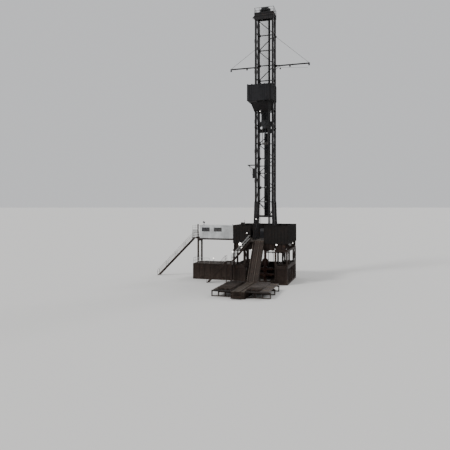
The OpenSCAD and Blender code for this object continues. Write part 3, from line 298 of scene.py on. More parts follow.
class Piece:
    """A mesh put together from simple solids, in metres, with one material, riding on one body."""

    made = []

    def __init__(self, name, slot, body=ROOT):
        self.name, self.slot, self.body, self.blend = name, slot, body, None
        self.points, self.faces, self.round_faces = [], [], set()
        Piece.made.append(self)

    def prism(self, outline, along, smooth=False):
        """A flat outline drawn out along a vector."""
        start = len(self.points)
        count = len(outline)
        ring = [Vector(point) for point in outline]
        self.points += ring + [point + Vector(along) for point in ring]
        self.faces.append(tuple(start + i for i in reversed(range(count))))
        self.faces.append(tuple(start + count + i for i in range(count)))
        for i in range(count):
            j = (i + 1) % count
            if smooth:
                self.round_faces.add(len(self.faces))
            self.faces.append((start + i, start + j, start + count + j, start + count + i))

    def box(self, a, b):
        """An upright box between two opposite corners."""
        (x0, x1), (y0, y1), (z0, z1) = (sorted(pair) for pair in zip(a, b))
        self.prism([(x0, y0, z0), (x1, y0, z0), (x1, y1, z0), (x0, y1, z0)], (0, 0, z1 - z0))

    @each
    def slab(self, x, y, z, long, deep, high):
        """A box given by its low corner and its size."""
        self.box((x, y, z), (x + long, y + deep, z + high))

    @each
    def rib(self, x, half, y0, y1, z0, z1):
        """A box that reaches equally far to both sides of x."""
        self.box((x - half, y0, z0), (x + half, y1, z1))

    @each
    def fin(self, y, half, x0, x1, z0, z1):
        """A box that reaches equally far to both sides of y."""
        self.box((x0, y - half, z0), (x1, y + half, z1))

    def gusset(self, corner, side, rise, thick):
        """A triangular plate with one level side, one upright side and its thickness as a vector."""
        corner = Vector(corner)
        self.prism([corner, corner + Vector(side), corner + Vector((0, 0, rise))], thick)

    def bar(self, a, b, width, depth=None):
        """A straight flat or square bar between two points, its width level."""
        a, b = Vector(a), Vector(b)
        along = b - a
        side = along.cross(Vector(UP))
        if side.length < 1e-6:
            side = Vector(RIGHT)
        side = side.normalized() * width / 2
        other = along.cross(side).normalized() * (depth or width) / 2
        self.prism([a - side - other, a + side - other, a + side + other, a - side + other], along)

    def rod(self, a, b, radius, sides=10):
        """A round bar between two points."""
        a, b = Vector(a), Vector(b)
        turn = (b - a).to_track_quat("Z", "Y")
        outline = [a + turn @ Vector(point) for point in circle((0, 0, 0), radius, sides)]
        self.prism(outline, b - a, smooth=sides > 6)

    @each
    def rod_x(self, y, z, x0, x1, radius, sides=10):
        self.rod((x0, y, z), (x1, y, z), radius, sides)

    @each
    def rod_y(self, x, z, y0, y1, radius, sides=10):
        self.rod((x, y0, z), (x, y1, z), radius, sides)

    @each
    def rod_z(self, x, y, z0, z1, radius, sides=10):
        self.rod((x, y, z0), (x, y, z1), radius, sides)

    def path(self, points, radius, sides=8):
        """Round bars from point to point."""
        for a, b in zip(points, points[1:]):
            self.rod(a, b, radius, sides)

    def hoop(self, centre, radius, section, axis, count, start=0.0, end=360.0):
        """Part of a ring round an axis, angles in degrees."""
        turn = Vector(axis).to_track_quat("Z", "Y")
        angles = [math.radians(t) for t in span(start, end, count + 1)]
        around = [turn @ Vector((radius * math.cos(t), radius * math.sin(t), 0)) for t in angles]
        self.path([Vector(centre) + point for point in around], section, 6)

    def bolts(self, places, along, radius, height):
        """Six-sided bolt heads that stand on the given places."""
        step = Vector(along).normalized() * height
        for foot in places:
            self.rod(foot, Vector(foot) + step, radius, 6)

    def done(self):
        """Makes the object and says what it rides on and which slot it shows."""
        mesh = bpy.data.meshes.new(self.name)
        mesh.from_pydata([tuple(point) for point in self.points], [], self.faces)
        for index in self.round_faces:
            mesh.polygons[index].use_smooth = True
        bm = bmesh.new()
        bm.from_mesh(mesh)
        bmesh.ops.recalc_face_normals(bm, faces=bm.faces)
        bm.to_mesh(mesh)
        bm.free()
        mesh.materials.append(MATERIALS[self.slot])
        piece = place(self.name, mesh)
        if self.blend:
            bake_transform(piece)
        else:
            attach(piece, self.body)


def box_of(node):
    """A node's lowest and highest corner, as six numbers."""
    low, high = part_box(node)
    return (*low, *high)


def solids_of(node):
    """The corner points of each separate solid in a node."""
    bm = bmesh.new()
    bm.from_mesh(frame["nodes"][node].data)
    bmesh.ops.remove_doubles(bm, verts=bm.verts, dist=1e-5)
    left = set(bm.verts)
    solids = []
    while left:
        group = [left.pop()]
        for vertex in group:
            near = {other for edge in vertex.link_edges for other in edge.verts} & left
            left -= near
            group += near
        solids.append([vertex.co.copy() for vertex in group])
    bm.free()
    return solids


def corners(points):
    """The lowest and highest corner of a set of points, as six numbers."""
    return [pick(p[i] for p in points) for pick in (min, max) for i in range(3)]


def housing_of(points):
    """A lamp's points without its bracket, which is narrower."""
    left = min(p.x for p in points)
    right = max(p.x for p in points)
    return [p for p in points if min(p.x - left, right - p.x) < 1e-4]


def span(low, high, count):
    """Evenly spaced numbers from low to high, both ends included."""
    return [low + (high - low) * i / (count - 1) for i in range(count)]


def steps(start, step, count):
    """Numbers from a start, one step apart."""
    return [start + step * i for i in range(count)]


def circle(centre, radius, count, axis="z"):
    """Points on a circle about an axis through the centre."""
    x, y, z = centre
    places = []
    for t in steps(0, 2 * math.pi / count, count):
        a, b = radius * math.cos(t), radius * math.sin(t)
        places.append({"x": (x, y + a, z + b), "y": (x + a, y, z + b), "z": (x + a, y + b, z)}[axis])
    return places


# Mast

FLOOR_LEFT, FLOOR_FRONT, _, FLOOR_RIGHT, FLOOR_BACK, FLOOR_Z = box_of("drill_floor_deck")
SIDE_X0, SIDE_Y0, FOOT_TOP, SIDE_X1, SIDE_Y1, MAST_TOP = box_of("mast_left_side")
LEG = 0.18
FLANGE = 0.23
LEG_X = -(SIDE_X0 + SIDE_X1) / 2
LEG_OUT = LEG_X + LEG / 2
FRONT_Y = SIDE_Y0 + FLANGE / 2
BACK_Y = SIDE_Y1 - FLANGE / 2
LEGS_Y = ((FRONT_Y, -1), (BACK_Y, 1))
SPLICE_Z = 14.8
SPLICE_H = 0.35
TOP_PANEL = 1.49
GIRT = 0.08
RUNG = 0.15
SHEAVE_R = 0.36
BEARING_X = 0.42
GUIDE_W = 0.2
GUIDE_X = 0.3
HOOK_X = -0.57
BOOM_H = 0.115
BRACE_REACH = 1.5
RISE = 0.1
GOING = 0.09
UPPER_STEPS = 19
RAIL_H = 0.55
TUBE = 0.015
LEVELS = span(FOOT_TOP, SPLICE_Z, 6) + span(SPLICE_Z + SPLICE_H, MAST_TOP - TOP_PANEL, 7)


def mast_gussets():
    """Corner plates above and below each girt."""
    arm, plate = 0.17, 0.014
    plates = Piece("mast_gussets", "mast_steel")
    for z in LEVELS[1:]:
        for up in BOTH:
            root = z + up * GIRT / 2
            for s in BOTH:
                for y, out in LEGS_Y:
                    plates.gusset((s * LEG_X - plate / 2, y - out * LEG / 2, root), (0, -out * arm, 0),
                                  up * arm, (plate, 0, 0))
                edge = s * (LEG_X - LEG / 2)
                plates.gusset((edge, BACK_Y, root), (-s * arm, 0, 0), up * arm, (0, plate, 0))


def mast_flange_bolts():
    """Bolts and pin lugs at the foot and the splice."""
    bolts = Piece("mast_flange_bolts", "bright_steel")
    lugs = Piece("mast_pin_lugs", "mast_steel")
    reach = FLANGE / 2 - 0.012
    around = [(dx, dy) for dx in (-reach, 0, reach) for dy in (-reach, 0, reach) if dx or dy]
    for s in BOTH:
        x = s * LEG_X
        for y, out in LEGS_Y:
            for z in (FOOT_TOP + 0.05, SPLICE_Z + 0.11):
                bolts.bolts([(x + dx, y + dy, z) for dx, dy in around], UP, 0.011, 0.022)
            face = y + out * LEG / 2
            lugs.rib([x - 0.05, x + 0.05], 0.012, face, face + out * 0.09, FOOT_TOP + 0.06, FOOT_TOP + 0.3)
            lugs.rod_x(face + out * 0.045, FOOT_TOP + 0.22, x - 0.085, x + 0.085, 0.024)


def mast_ladder():
    """A caged ladder up the back of the left rear leg."""
    ladder = Piece("mast_ladder", "mast_steel")
    back = BACK_Y + LEG / 2
    y = back + 0.1
    x0, x1 = -LEG_X - 0.1, -LEG_X + 0.1
    z0, z1 = FLOOR_Z + 0.1, MAST_TOP + 0.25
    for x in (x0, x1):
        ladder.bar((x, y, z0), (x, y, z1), 0.012, 0.032)
        for z in LEVELS + [FLOOR_Z + 1.2, FLOOR_Z + 2.4]:
            ladder.bar((x, y, z), (x, back if z > FOOT_TOP - 0.1 else y - 0.12, z), 0.012, 0.03)
    ladder.rod_x(y, steps(z0 + 0.1, RUNG, int((z1 - z0) / RUNG)), x0, x1, 0.009, 6)
    hoops = steps(FLOOR_Z + 1.3, 0.45, int((z1 - FLOOR_Z - 1.3) / 0.45))
    for z in hoops:
        ladder.hoop((-LEG_X, y + 0.05, z), 0.19, 0.006, UP, 10, -15, 195)
    for t in map(math.radians, (10, 50, 90, 130, 170)):
        x, out = -LEG_X + 0.19 * math.cos(t), 0.05 + 0.19 * math.sin(t)
        ladder.rod_z(x, y + out, hoops[0], hoops[-1], 0.005, 5)


def mast_services():
    """The standpipe, cable and hose trays, and tube lamps on the legs."""
    pipes = Piece("standpipe", "machine_grey")
    x, y, top = LEG_X - LEG / 2 - 0.06, BACK_Y + 0.02, 13.6
    pipes.rod_z(x, y, FLOOR_Z, top, 0.032, 12)
    bend = ((0, 0, 0), (-0.03, -0.02, 0.08), (-0.09, -0.06, 0.12), (-0.15, -0.1, 0.08), (-0.17, -0.12, 0))
    pipes.path([(x + dx, y + dy, top + dz) for dx, dy, dz in bend], 0.032, 12)
    pipes.slab(x - 0.045, y - 0.045, span(FLOOR_Z + 0.5, top - 0.3, 9), 0.105, 0.09, 0.05)
    for z in (FLOOR_Z + 1.4, 8.6, 12.1):
        pipes.rod_z(x, y, z, z + 0.05, 0.052, 12)
    tray = Piece("cable_tray", "mast_steel")
    x, y, foot = -LEG_X + LEG / 2 + 0.02, BACK_Y - 0.03, FOOT_TOP + 0.1
    for dy in (-0.06, 0.06):
        tray.bar((x, y + dy, foot), (x, y + dy, MAST_TOP - 0.3), 0.03, 0.006)
    tray.rod_y(x, steps(foot + 0.1, 0.155, 110), y - 0.06, y + 0.06, 0.005, 5)
    for k, dy in enumerate((-0.035, -0.012, 0.012, 0.036)):
        tray.rod_z(x + 0.014, y + dy, foot, MAST_TOP - 0.6 - 0.8 * k, 0.009, 6)
    x0, _, foot, x1, back, _ = box_of("guide_beam")
    x0, x1, head = x0 + 0.01, x1 - 0.22, SPLICE_Z - 0.37
    hoses = Piece("tray_hoses", "machine_grey")
    for i, x in enumerate(span(x0 + 0.045, x1 - 0.045, 6)):
        hoses.rod_z(x, back - 0.048, foot, head - 0.06 * (i % 3), 0.028, 12)
    hoses.slab(x0, back - 0.09, span(foot + 0.2, head - 0.2, 22), x1 - x0, 0.012, 0.035)
    lamps = Piece("mast_tube_lamps", "lamp_housing")
    for z in LEVELS[1::2]:
        for s in BOTH:
            x = s * (LEG_OUT + 0.02)
            lamps.slab(x - 0.02, FRONT_Y - 0.02, z + 0.45, 0.04, 0.04, 0.35)
            lamps.rod_z(x + s * 0.022, FRONT_Y, z + 0.47, z + 0.78, 0.013)


def back_details():
    """The lowest back girt, a hook, boxes on the tray and the stabbing arm's line."""
    steel = Piece("foot_bracing", "mast_steel")
    y, z = BACK_Y, FOOT_TOP + 0.04
    steel.bar((-LEG_X, y, z), (LEG_X, y, z), GIRT)
    beam = box_of("torque_beam")[2]
    for s in BOTH:
        steel.bar((s * (LEG_X - 0.06), y, z - 0.06), (GUIDE_X + s * 0.04, y, beam + 0.15), 0.055)
    steel.rib(HOOK_X, 0.045, y - 0.07, y - 0.04, LEVELS[1] - 0.12, LEVELS[1] + 0.15)
    x0, y0, z0, x1, y1, z1 = box_of("stabbing_board")
    middle = (y0 + y1) / 2
    steel.rod((x0 + 0.1, middle, z1 - 0.09), (x1 - 0.225, middle, z0 + 0.25), 0.012, 8)
    boxes = Piece("tray_boxes", "galvanised_and_painted_highlight")
    x0, _, _, _, y1, _ = box_of("guide_beam")
    boxes.slab(x0 + 0.12, y1 - 0.12, [LEVELS[0] + 0.03, LEVELS[1] + 0.03, LEVELS[2] - 0.1], 0.1, 0.03, 0.08)


def line_parts():
    """The straight parts of the drilling line, as rods from their feet up to their heads."""
    _, _, low, _, _, high = box_of("drilling_line")
    rope = Piece("line_parts", "wire_rope")
    for points in solids_of("drilling_line"):
        x0, y0, _, x1, y1, _ = corners([p for p in points if p.z < (low + high) / 2])
        radius = (x1 - x0) / 2
        head_x, head_y0, _, _, head_y1, _ = corners([p for p in points if p.z > (low + high) / 2])
        head = (head_x + radius, (head_y0 + head_y1) / 2, high)
        rope.rod((x0 + radius, (y0 + y1) / 2, low), head, radius, 12)
    rope.blend = ((0, 0, high), (0, 0, low))


def foot_details():
    """Stiffeners, pins and bolts on the mast's shoes and the torque beam."""
    feet = Piece("mast_shoe_details", "mast_steel")
    bolts = Piece("mast_shoe_bolts", "bright_steel")
    low = box_of("mast_foot_left")[0]
    for x in (low + 0.15, -low - 0.15):
        for y, _ in LEGS_Y:
            for left in (x - 0.12, x + 0.1):
                feet.gusset((left, y - 0.15, FLOOR_Z), (0, -0.11, 0), 0.3, (0.02, 0, 0))
            feet.rib(x, 0.22, y - 0.28, y + 0.2, FLOOR_Z, FLOOR_Z + 0.02)
            feet.rod_x(y, FLOOR_Z + 0.2, x - 0.17, x + 0.17, 0.055, 16)
            rows = [y + dy for dy in (-0.24, -0.08, 0.08, 0.17)]
            bolts.rod_z([x - 0.19, x + 0.19], rows, FLOOR_Z + 0.02, FLOOR_Z + 0.045, 0.015, 6)
    front = box_of("torque_beam")[1]
    feet.rib(span(-0.7, 0.7, 6), 0.008, front - 0.03, front, 6.15, 6.35)


# Crown

def crown_details():
    """Stiffeners, kick plates, bearing caps, a hook bracket and gratings."""
    x0, y0, z0, x1, y1, top = box_of("crown_frame")
    steel = Piece("crown_stiffeners", "mast_steel")
    along = span(x0 + 0.12, x1 - 0.12, 9)
    steel.rib(along, 0.007, BACK_Y + 0.04, BACK_Y + 0.06, MAST_TOP + 0.02, top - 0.02)
    steel.rib(along, 0.012, y0 - 0.02, y0, z0, top)
    steel.slab(x0, y0 - 0.035, [z0, MAST_TOP - 0.02, top - 0.04], x1 - x0, 0.015, 0.04)
    between = span(y0 + 0.093, y1 - 0.107, 6)
    steel.slab([x0, x1 - 0.05], between, MAST_TOP + 0.02, 0.05, 0.014, top - MAST_TOP - 0.04)
    plate = top + 0.02
    steel.slab(x0, [y0, y1 - 0.006], plate, x1 - x0, 0.006, 0.075)
    steel.slab([x0, x1 - 0.006], y0, plate, 0.006, y1 - y0, 0.075)
    cap = box_of("crown_sheaves")[5] - SHEAVE_R + 0.085
    bolts = Piece("crown_bolts", "bright_steel")
    for s in BOTH:
        x = s * BEARING_X
        steel.rib(x, 0.1, -0.16, 0.16, cap, cap + 0.025)
        bolts.rod_z([x - 0.08, x + 0.08], [-0.13, 0.13], cap + 0.025, cap + 0.055, 0.018, 6)
        x, low, high = s * LEG_X, MAST_TOP + 0.022, MAST_TOP + 0.052
        for y, _ in LEGS_Y:
            bolts.rod_z([x - 0.05, x + 0.05], [y - 0.045, y + 0.045], low, high, 0.014, 6)
    y = FRONT_Y
    edge = ((0.18, 0.27), (0.18, 0.35), (0, 0.46), (0, 0.15))
    steel.prism([(x0 - out, y, top - drop) for out, drop in edge], (0, 0.03, 0))
    steel.hoop((x0 - 0.15, y + 0.015, top - 0.39), 0.05, 0.014, AHEAD, 12)
    grating = Piece("crown_grating", "deck_steel")
    bars = span(x0 + 0.03, x1 - 0.03, 54)
    grating.rib(bars, 0.003, y0 + 0.02, -0.43, plate, plate + 0.012)
    grating.rib(bars, 0.003, 0.43, y1 - 0.02, plate, plate + 0.012)


# Racking board

def board_details():
    """Ribs, a toothed top rail, latches, a walkway, rails and stringers."""
    x0, y0, z0, x1, y1, z1 = box_of("board_windwall")
    ribs = Piece("board_ribs", "board_panel")
    ribs.rib(span(x0 + 0.02, x1 - 0.02, 13), 0.018, y0 - 0.022, y0, z0, z1)
    ribs.slab([x0 - 0.022, x1], span(y0 + 0.032, y1 - 0.068, 9), z0, 0.022, 0.036, z1 - z0)
    ribs.slab(x0 - 0.022, y0 - 0.03, [z0, z1 - 0.05], x1 - x0 + 0.044, 0.008, 0.05)
    steel = Piece("board_frame", "mast_steel")
    for x in span(x0 + 0.06, x1 - 0.06, 7):
        steel.bar((x, y0 + 0.05, z0 + 0.1), (x, y0 + 0.05, z1 + 0.06), 0.04)
        steel.rib(x, 0.05, y0 - 0.01, y0 + 0.06, z1, z1 + 0.06)
    for x in (x0 + 0.05, x1 - 0.05):
        for y in span(y0 + 0.1, y1 - 0.05, 5):
            steel.bar((x, y, z0 + 0.1), (x, y, z1 + 0.05), 0.035)
    for z in (z0 + 0.6, z1 - 0.1):
        steel.bar((x0 + 0.05, y0 + 0.05, z), (x1 - 0.05, y0 + 0.05, z), 0.03)
        for x in (x0 + 0.05, x1 - 0.05):
            steel.bar((x, y0 + 0.05, z), (x, y1, z), 0.03)
    steel.bar((LEG_X + 0.02, y0 - 0.045, z0 - 0.12), (LEG_X + 0.02, y0 - 0.045, z1 + 0.04), 0.09, 0.045)
    steel.slab(LEG_X - 0.1, y0 - 0.05, [z0 + 0.1, z1 - 0.12], 0.24, 0.03, 0.06)
    walk = Piece("board_walkway", "deck_steel")
    walk.fin(span(y0 + 0.15, y1 - 0.15, 46), 0.003, -0.19, 0.19, z0 + 0.1, z0 + 0.115)
    rails = Piece("board_rails", "mast_steel")
    start, end = y0 + 0.75, y1 - 0.05
    rails.rod_y([-0.2, 0.2], [z0 + 0.3, z0 + 0.55], start, end, 0.012)
    rails.rod_z([-0.2, 0.2], span(start, end, 4), z0 + 0.1, z0 + 0.55, 0.012)
    x0, y0, _, x1, y1, _ = box_of("racking_board")
    latches = span(-0.36, x0 + 0.08, 7) + span(0.32, x1 - 0.12, 7)
    rails.slab(latches, steps(y0 + 0.183, 0.11, 10), z0 + 0.08, 0.04, 0.024, 0.025)
    under = Piece("board_stringers", "mast_steel")
    for x in span(x0 + 0.15, x1 - 0.15, 7):
        under.bar((x, y0 + 0.02, z0 - 0.03), (x, y1 - 0.02, z0 - 0.03), 0.04, 0.06)
    edge = ((0, 0), (0.35, 0.16), (0.9, 0.16), (1.0, 0))
    under.prism([(x0 + dx, y0 - 0.01, z0 - drop) for dx, drop in edge], (0, 0.03, 0))
    _, _, foot, _, _, head = box_of("board_braces")
    ends = ((0.15, 0.19), (0.32, 0.36))
    (y0, z0), (y1, z1) = [(FRONT_Y - out * BRACE_REACH, foot + up * (head - foot)) for out, up in ends]
    for x0, x1 in ((-LEG_X - 0.03, -0.47), (-0.25, LEG_X + 0.03)):
        under.prism([(x0, y0, z0), (x0, y1, z1), (x0, y1, z1 + 0.012), (x0, y0, z0 + 0.012)], (x1 - x0, 0, 0))


# Booms and lamps

# For each side its boom's node, the height of its stay and the fittings' x and drop
BOOMS = (
    (-1, "light_boom_left", 23.0, ((-2.0, 0.02), (-1.1, 0.1))),
    (1, "light_boom_right", 23.9, ((1.35, 0.17), (2.3, 0.02))),
)
LIT_BELOW = 20.0
BIG_LAMP = (-1.85, FLOOR_FRONT - 0.09, FLOOR_Z - 0.315)
# Each small lamp's x, underside, size and the height that it hangs from, or none
SMALL_LAMPS = ((-1.73, 3.32, 0.1, 3.62), (-2.6, 2.87, 0.14, None), (-0.78, 3.14, 0.09, 3.45))


def boom_details():
    """Clamps, joints, cables and fittings on the booms, and the ends of the stays."""
    y = BACK_Y
    for side, node, _, fittings in BOOMS:
        x0, _, _, x1, _, top = box_of(node)
        boom = Piece(f"{node}_details", "mast_steel")
        root = side * LEG_OUT
        tip = x0 if side < 0 else x1
        low = top - BOOM_H
        middle, centre = (root + tip) / 2, low + BOOM_H / 2
        boom.rib([middle - 0.007, middle + 0.007], 0.005, y - 0.045, y + 0.045, low - 0.02, top + 0.02)
        boom.slab(root, y - 0.06, [low - 0.04, top], side * 0.14, 0.12, 0.04)
        boom.rod_x(y + 0.03, top + 0.012, root, tip, 0.01, 6)
        boom.rod_x([y - 0.026, y + 0.026], steps(centre - 0.026, 0.026, 3), root, tip - side * 0.1, 0.013, 6)
        for x, drop in fittings:
            boom.rib(x, 0.07, y - 0.05, y + 0.05, low - drop - 0.12, low - drop)
            boom.bar((x, y, low - drop), (x, y, low), 0.025)
        if side > 0:
            boom.rod((root + 0.5, y, low - 0.14), (tip - 0.2, y, low - 0.34), 0.009, 6)
    ends = Piece("stay_ends", "mast_steel")
    for side, _, stay, _ in BOOMS:
        root = side * LEG_OUT
        ends.fin(y, 0.012, root, root + side * 0.09, stay - 0.14, stay + 0.02)
        ends.rod_y(root + side * 0.06, stay - 0.05, y - 0.03, y + 0.03, 0.016, 8)


def lamp_heads():
    """Fins, a yoke and a lens on each lamp, and more lamps; the low ones are lit."""
    bodies = Piece("lamp_fins", "lamp_housing")
    lit = Piece("lamp_lenses", "lamp_lens")
    dark = Piece("boom_lamp_lenses", "window_glass")
    for points in solids_of("floodlights"):
        x0, y0, z0, x1, y1, z1 = corners(housing_of(points))
        bodies.rib(span(x0 + 0.015, x1 - 0.015, 8), 0.003, y1, y1 + 0.02, z0 + 0.015, z1 - 0.015)
        bodies.slab([x0 - 0.006, x1], (y0 + y1) / 2 - 0.01, z0 + 0.02, 0.006, 0.02, z1 - z0 - 0.008)
        bodies.box((x0 - 0.004, y0 - 0.012, z1 - 0.008), (x1 + 0.004, y0, z1 + 0.004))
        lens = dark if z0 > LIT_BELOW else lit
        inset = 0.035 if x0 > FLOOR_RIGHT - 0.1 or z0 > FLOOR_Z + 0.5 else 0.01
        lens.box((x0 + inset, y0 - 0.006, z0 + inset), (x1 - inset, y0, z1 - inset))
    x, y, z = BIG_LAMP
    bodies.rod_y(x, z, y, y - 0.05, 0.165, 32)
    lit.rod_y(x, z, y - 0.05, y - 0.056, 0.145, 32)
    y = FLOOR_FRONT - 0.01
    for x, z, size, hang in SMALL_LAMPS:
        bodies.rib(x, size / 2, y - 0.07, y, z, z + size)
        lit.rib(x, size / 2 - 0.012, y - 0.076, y - 0.07, z + 0.012, z + size - 0.012)
        if hang:
            bodies.rod_z(x, y - 0.02, z + size, hang, 0.01, 8)
            bodies.rib(x, 0.03, y - 0.04, FLOOR_FRONT + 0.02, hang - 0.012, hang)
        else:
            bodies.rib(x, 0.03, y, FLOOR_FRONT + 0.01, z + 0.04, z + 0.1)


# Base and drill floor

BOX_X0, BOX_Y0, _, BOX_X1, BOX_Y1, BOX_TOP = box_of("base_box_right")
UPPER_TOP = box_of("upper_box_right")[5]
POST = 0.15
WALL_LAMP_X = -1.62
POST_STEP = (BOX_Y1 - BOX_Y0 - POST) / 4


def box_details():
    """Gussets, lugs, pins and stiffeners on the box frames."""
    steel = Piece("box_gussets", "base_steel")
    pins = Piece("box_pins", "bright_steel")
    arm = 0.16
    for s in BOTH:
        for x in (s * (BOX_X0 + POST / 2), s * (BOX_X1 - POST / 2)):
            for i in range(5):
                post_y = BOX_Y0 + i * POST_STEP
                for z, up in ((POST, 1), (BOX_TOP - POST, -1), (BOX_TOP + POST, 1), (UPPER_TOP - POST, -1)):
                    for y, way in ((post_y, -1), (post_y + POST, 1)):
                        if BOX_Y0 < y < BOX_Y1 and (z < BOX_TOP or i != 2):
                            steel.gusset((x - 0.008, y, z), (0, way * arm, 0), up * arm, (0.016, 0, 0))
            for face, out in ((BOX_Y0, -1), (BOX_Y1, 1)):
                steel.slab([x - 0.043, x + 0.027], face, BOX_TOP - 0.12, 0.016, out * 0.07, 0.24)
                pins.rod_x(face + out * 0.04, [BOX_TOP - 0.06, BOX_TOP + 0.06], x - 0.06, x + 0.06, 0.018)
        plate = s * (BOX_X1 - POST / 2 + 0.005)
        ribs = span(BOX_Y0 + 0.3, BOX_Y1 - 0.3, 16)
        steel.fin(ribs, 0.006, plate - 0.012, plate + 0.025, POST, BOX_TOP - POST)
        ribs = [s * x for x in span(BOX_X0 + 0.3, BOX_X1 - 0.3, 5)]
        steel.rib(ribs, 0.006, BOX_Y0 + 0.045, BOX_Y0 + 0.075, POST, BOX_TOP - POST)


def floor_beam_details():
    """Stiffeners and lifting eyes on the floor beams, and pipes, rails and flat trays in the bay."""
    x0, y0, low, x1, y1, high = box_of("floor_frame")
    z0, z1 = low + 0.03, high - 0.03
    steel = Piece("floor_beam_stiffeners", "base_steel")
    steel.slab(span(x0 + 0.193, x1 - 0.207, 13), [y0, y1 - 0.065], z0, 0.014, 0.065, z1 - z0)
    steel.slab([x0, x1 - 0.065], span(y0 + 0.243, y1 - 0.257, 12), z0, 0.065, 0.014, z1 - z0)
    for y in (y0 + 0.7, 0.2, y1 - 0.7):
        steel.hoop((x1 + 0.005, y, z0 + 0.35), 0.045, 0.014, RIGHT, 12)
    pipes = Piece("cellar_pipes", "pipe_steel")
    for x, y, radius in ((-0.42, 2.2, 0.035), (-0.16, 2.35, 0.03), (0.35, 2.3, 0.022)):
        pipes.rod_z(x, y, 0.3, low + 0.05, radius)
    pipes.path([(0, 0, 2.75), (0.5, 0.5, 2.72), (1.2, 1.6, 2.6), (1.9, 2.9, 2.45)], 0.055, 12)
    rail = Piece("preventer_rails", "base_steel")
    for x in (-0.62, 0.62):
        for half, under, over in ((0.05, 0.015, 0), (0.008, 0.13, 0.015), (0.05, 0.145, 0.13)):
            rail.rib(x, half, y0 + 0.1, y1 - 0.1, low - under, low - over)
        rail.rib(x, 0.07, 0.35, 0.62, low - 0.3, low - 0.15)
        rail.rod_z(x, 0.48, low - 0.55, low - 0.3, 0.008, 6)
        rail.hoop((x, 0.48, low - 0.6), 0.04, 0.012, AHEAD, 10, -60, 220)
    x0, y0, _, x1, y1, _ = box_of("base_spreaders")
    trays = Piece("drip_trays", "base_steel")
    for start, end, gap in ((y0 + 0.05, -0.5, 0), (-0.5, 0.5, 0.5), (0.5, y1 - 0.05, 0)):
        for left, right in ((x0 + 0.01, -gap), (gap, x1 - 0.01)):
            trays.box((left, start, 0), (right, end, 0.012))
            trays.slab([left, right - 0.012], start, 0.012, 0.012, end - start, 0.038)


def windwall_details():
    """Girts, posts, bolts and capping of the windwalls, a splash plate and a lamp box."""
    top = box_of("windwall_right")[5]
    steel = Piece("windwall_frames", "windwall")
    bolts = Piece("windwall_bolts", "bright_steel")
    rows = [FLOOR_Z + 0.05, FLOOR_Z + 0.72, top - 0.06]
    bolt_rows = [z + 0.02 for z in rows + [FLOOR_Z - 0.2]]
    fronts = ("windwall_front_left", "windwall_front_right")
    for node in fronts + ("windwall_back", "windwall_right", "windwall_left"):
        x0, y0, _, x1, y1, _ = box_of(node)
        steel.box((x0, y0, top), (x1, y1, top + 0.012))
    for node in fronts + ("windwall_back",):
        x0, y0, _, x1, y1, _ = box_of(node)
        out, face, way = (y0, y1, 1) if node in fronts else (y1, y0, -1)
        steel.slab(x0, face, rows, x1 - x0, way * 0.04, 0.04)
        posts = span(x0 + 0.03, x1 - 0.03, max(2, round((x1 - x0) / 0.9) + 1))
        steel.rib(posts, 0.03, face, face + way * 0.07, FLOOR_Z, top)
        places = span(x0 + 0.03, x1 - 0.03, max(1, round((x1 - x0) / 0.3)) + 1)
        bolts.rod_y(places, bolt_rows, out, out - way * 0.008, 0.008, 6)
    x0, y0, _, x1, y1, _ = box_of("windwall_right")
    steel.slab(x0 - 0.04, y0, rows, 0.04, y1 - y0, 0.04)
    places = span(y0 + 0.03, y1 - 0.03, round((y1 - y0) / 0.3) + 1)
    bolts.rod_x(places, bolt_rows, x1, x1 + 0.008, 0.008, 6)
    splash = ((0, 0.25), (0.16, 0.42), (0.16, 0.4), (0, 0.235))
    steel.prism([(x1 + out, y0, FLOOR_Z - drop) for out, drop in splash], (0, 1.2, 0))
    x, y = WALL_LAMP_X, FLOOR_FRONT - 0.02
    steel.bar((x, y, top - 0.2), (x, y, top + 0.08), 0.04)
    steel.box((x - 0.17, y - 0.08, top + 0.06), (x + 0.15, y + 0.08, top + 0.27))
    steel.bar((x + 0.19, y, top), (x + 0.19, y, top + 0.5), 0.03)
    _, y0, _, x1, y1, _ = box_of("windwall_left")
    steel.slab(x1, 1.0, rows[::2], 0.04, y1 - 1.0, 0.04)
    steel.slab(x1, y0, rows[::2], 0.04, 0.35 - y0, 0.04)


def preventer_details():
    """Flange bolts, locking screws with handwheels, side valves and ribs."""
    bolts = Piece("preventer_bolts", "bright_steel")
    for z, radius, count in ((0.06, 0.1477, 16), (0.46, 0.185, 16), (0.8, 0.185, 16), (1.01, 0.185, 16),
                             (1.35, 0.185, 16), (2.02, 0.27, 20), (3.15, 0.15, 12)):
        bolts.bolts(circle((0, 0, z), radius, count), UP, 0.012, 0.03)
    parts = Piece("preventer_parts", "preventer_paint")
    for z in (0.6, 1.15):
        for s in BOTH:
            bolts.bolts(circle((s * 0.65, 0, z), 0.1, 8, "x"), (s, 0, 0), 0.014, 0.03)
            parts.rod_x(0, z, s * 0.64, s * 0.665, 0.118, 24)
            parts.rod_x(0, z, s * 0.83, s * 0.95, 0.028, 12)
            hub = (s * 0.95, 0, z)
            parts.hoop(hub, 0.085, 0.011, RIGHT, 20)
            for rim in circle(hub, 0.085, 4, "x"):
                parts.rod(hub, rim, 0.007, 6)
            parts.rod_y(0, z - 0.06, s * 0.16, s * 0.42, 0.04, 16)
            parts.rod_y(0, z - 0.06, s * 0.42, s * 0.45, 0.08, 20)
            y = s * 0.57
            parts.rib(0, 0.07, y - 0.11, y + 0.11, z - 0.14, z + 0.02)
            parts.rod_z(0, y, z + 0.02, z + 0.14, 0.018)
            parts.hoop((0, y, z + 0.14), 0.06, 0.009, UP, 16)
    for t in steps(math.pi / 6, math.pi / 3, 6):
        x, y = 0.26 * math.cos(t), 0.26 * math.sin(t)
        parts.box((x - 0.02, y - 0.02, 1.56), (x + 0.06, y + 0.06, 1.98))


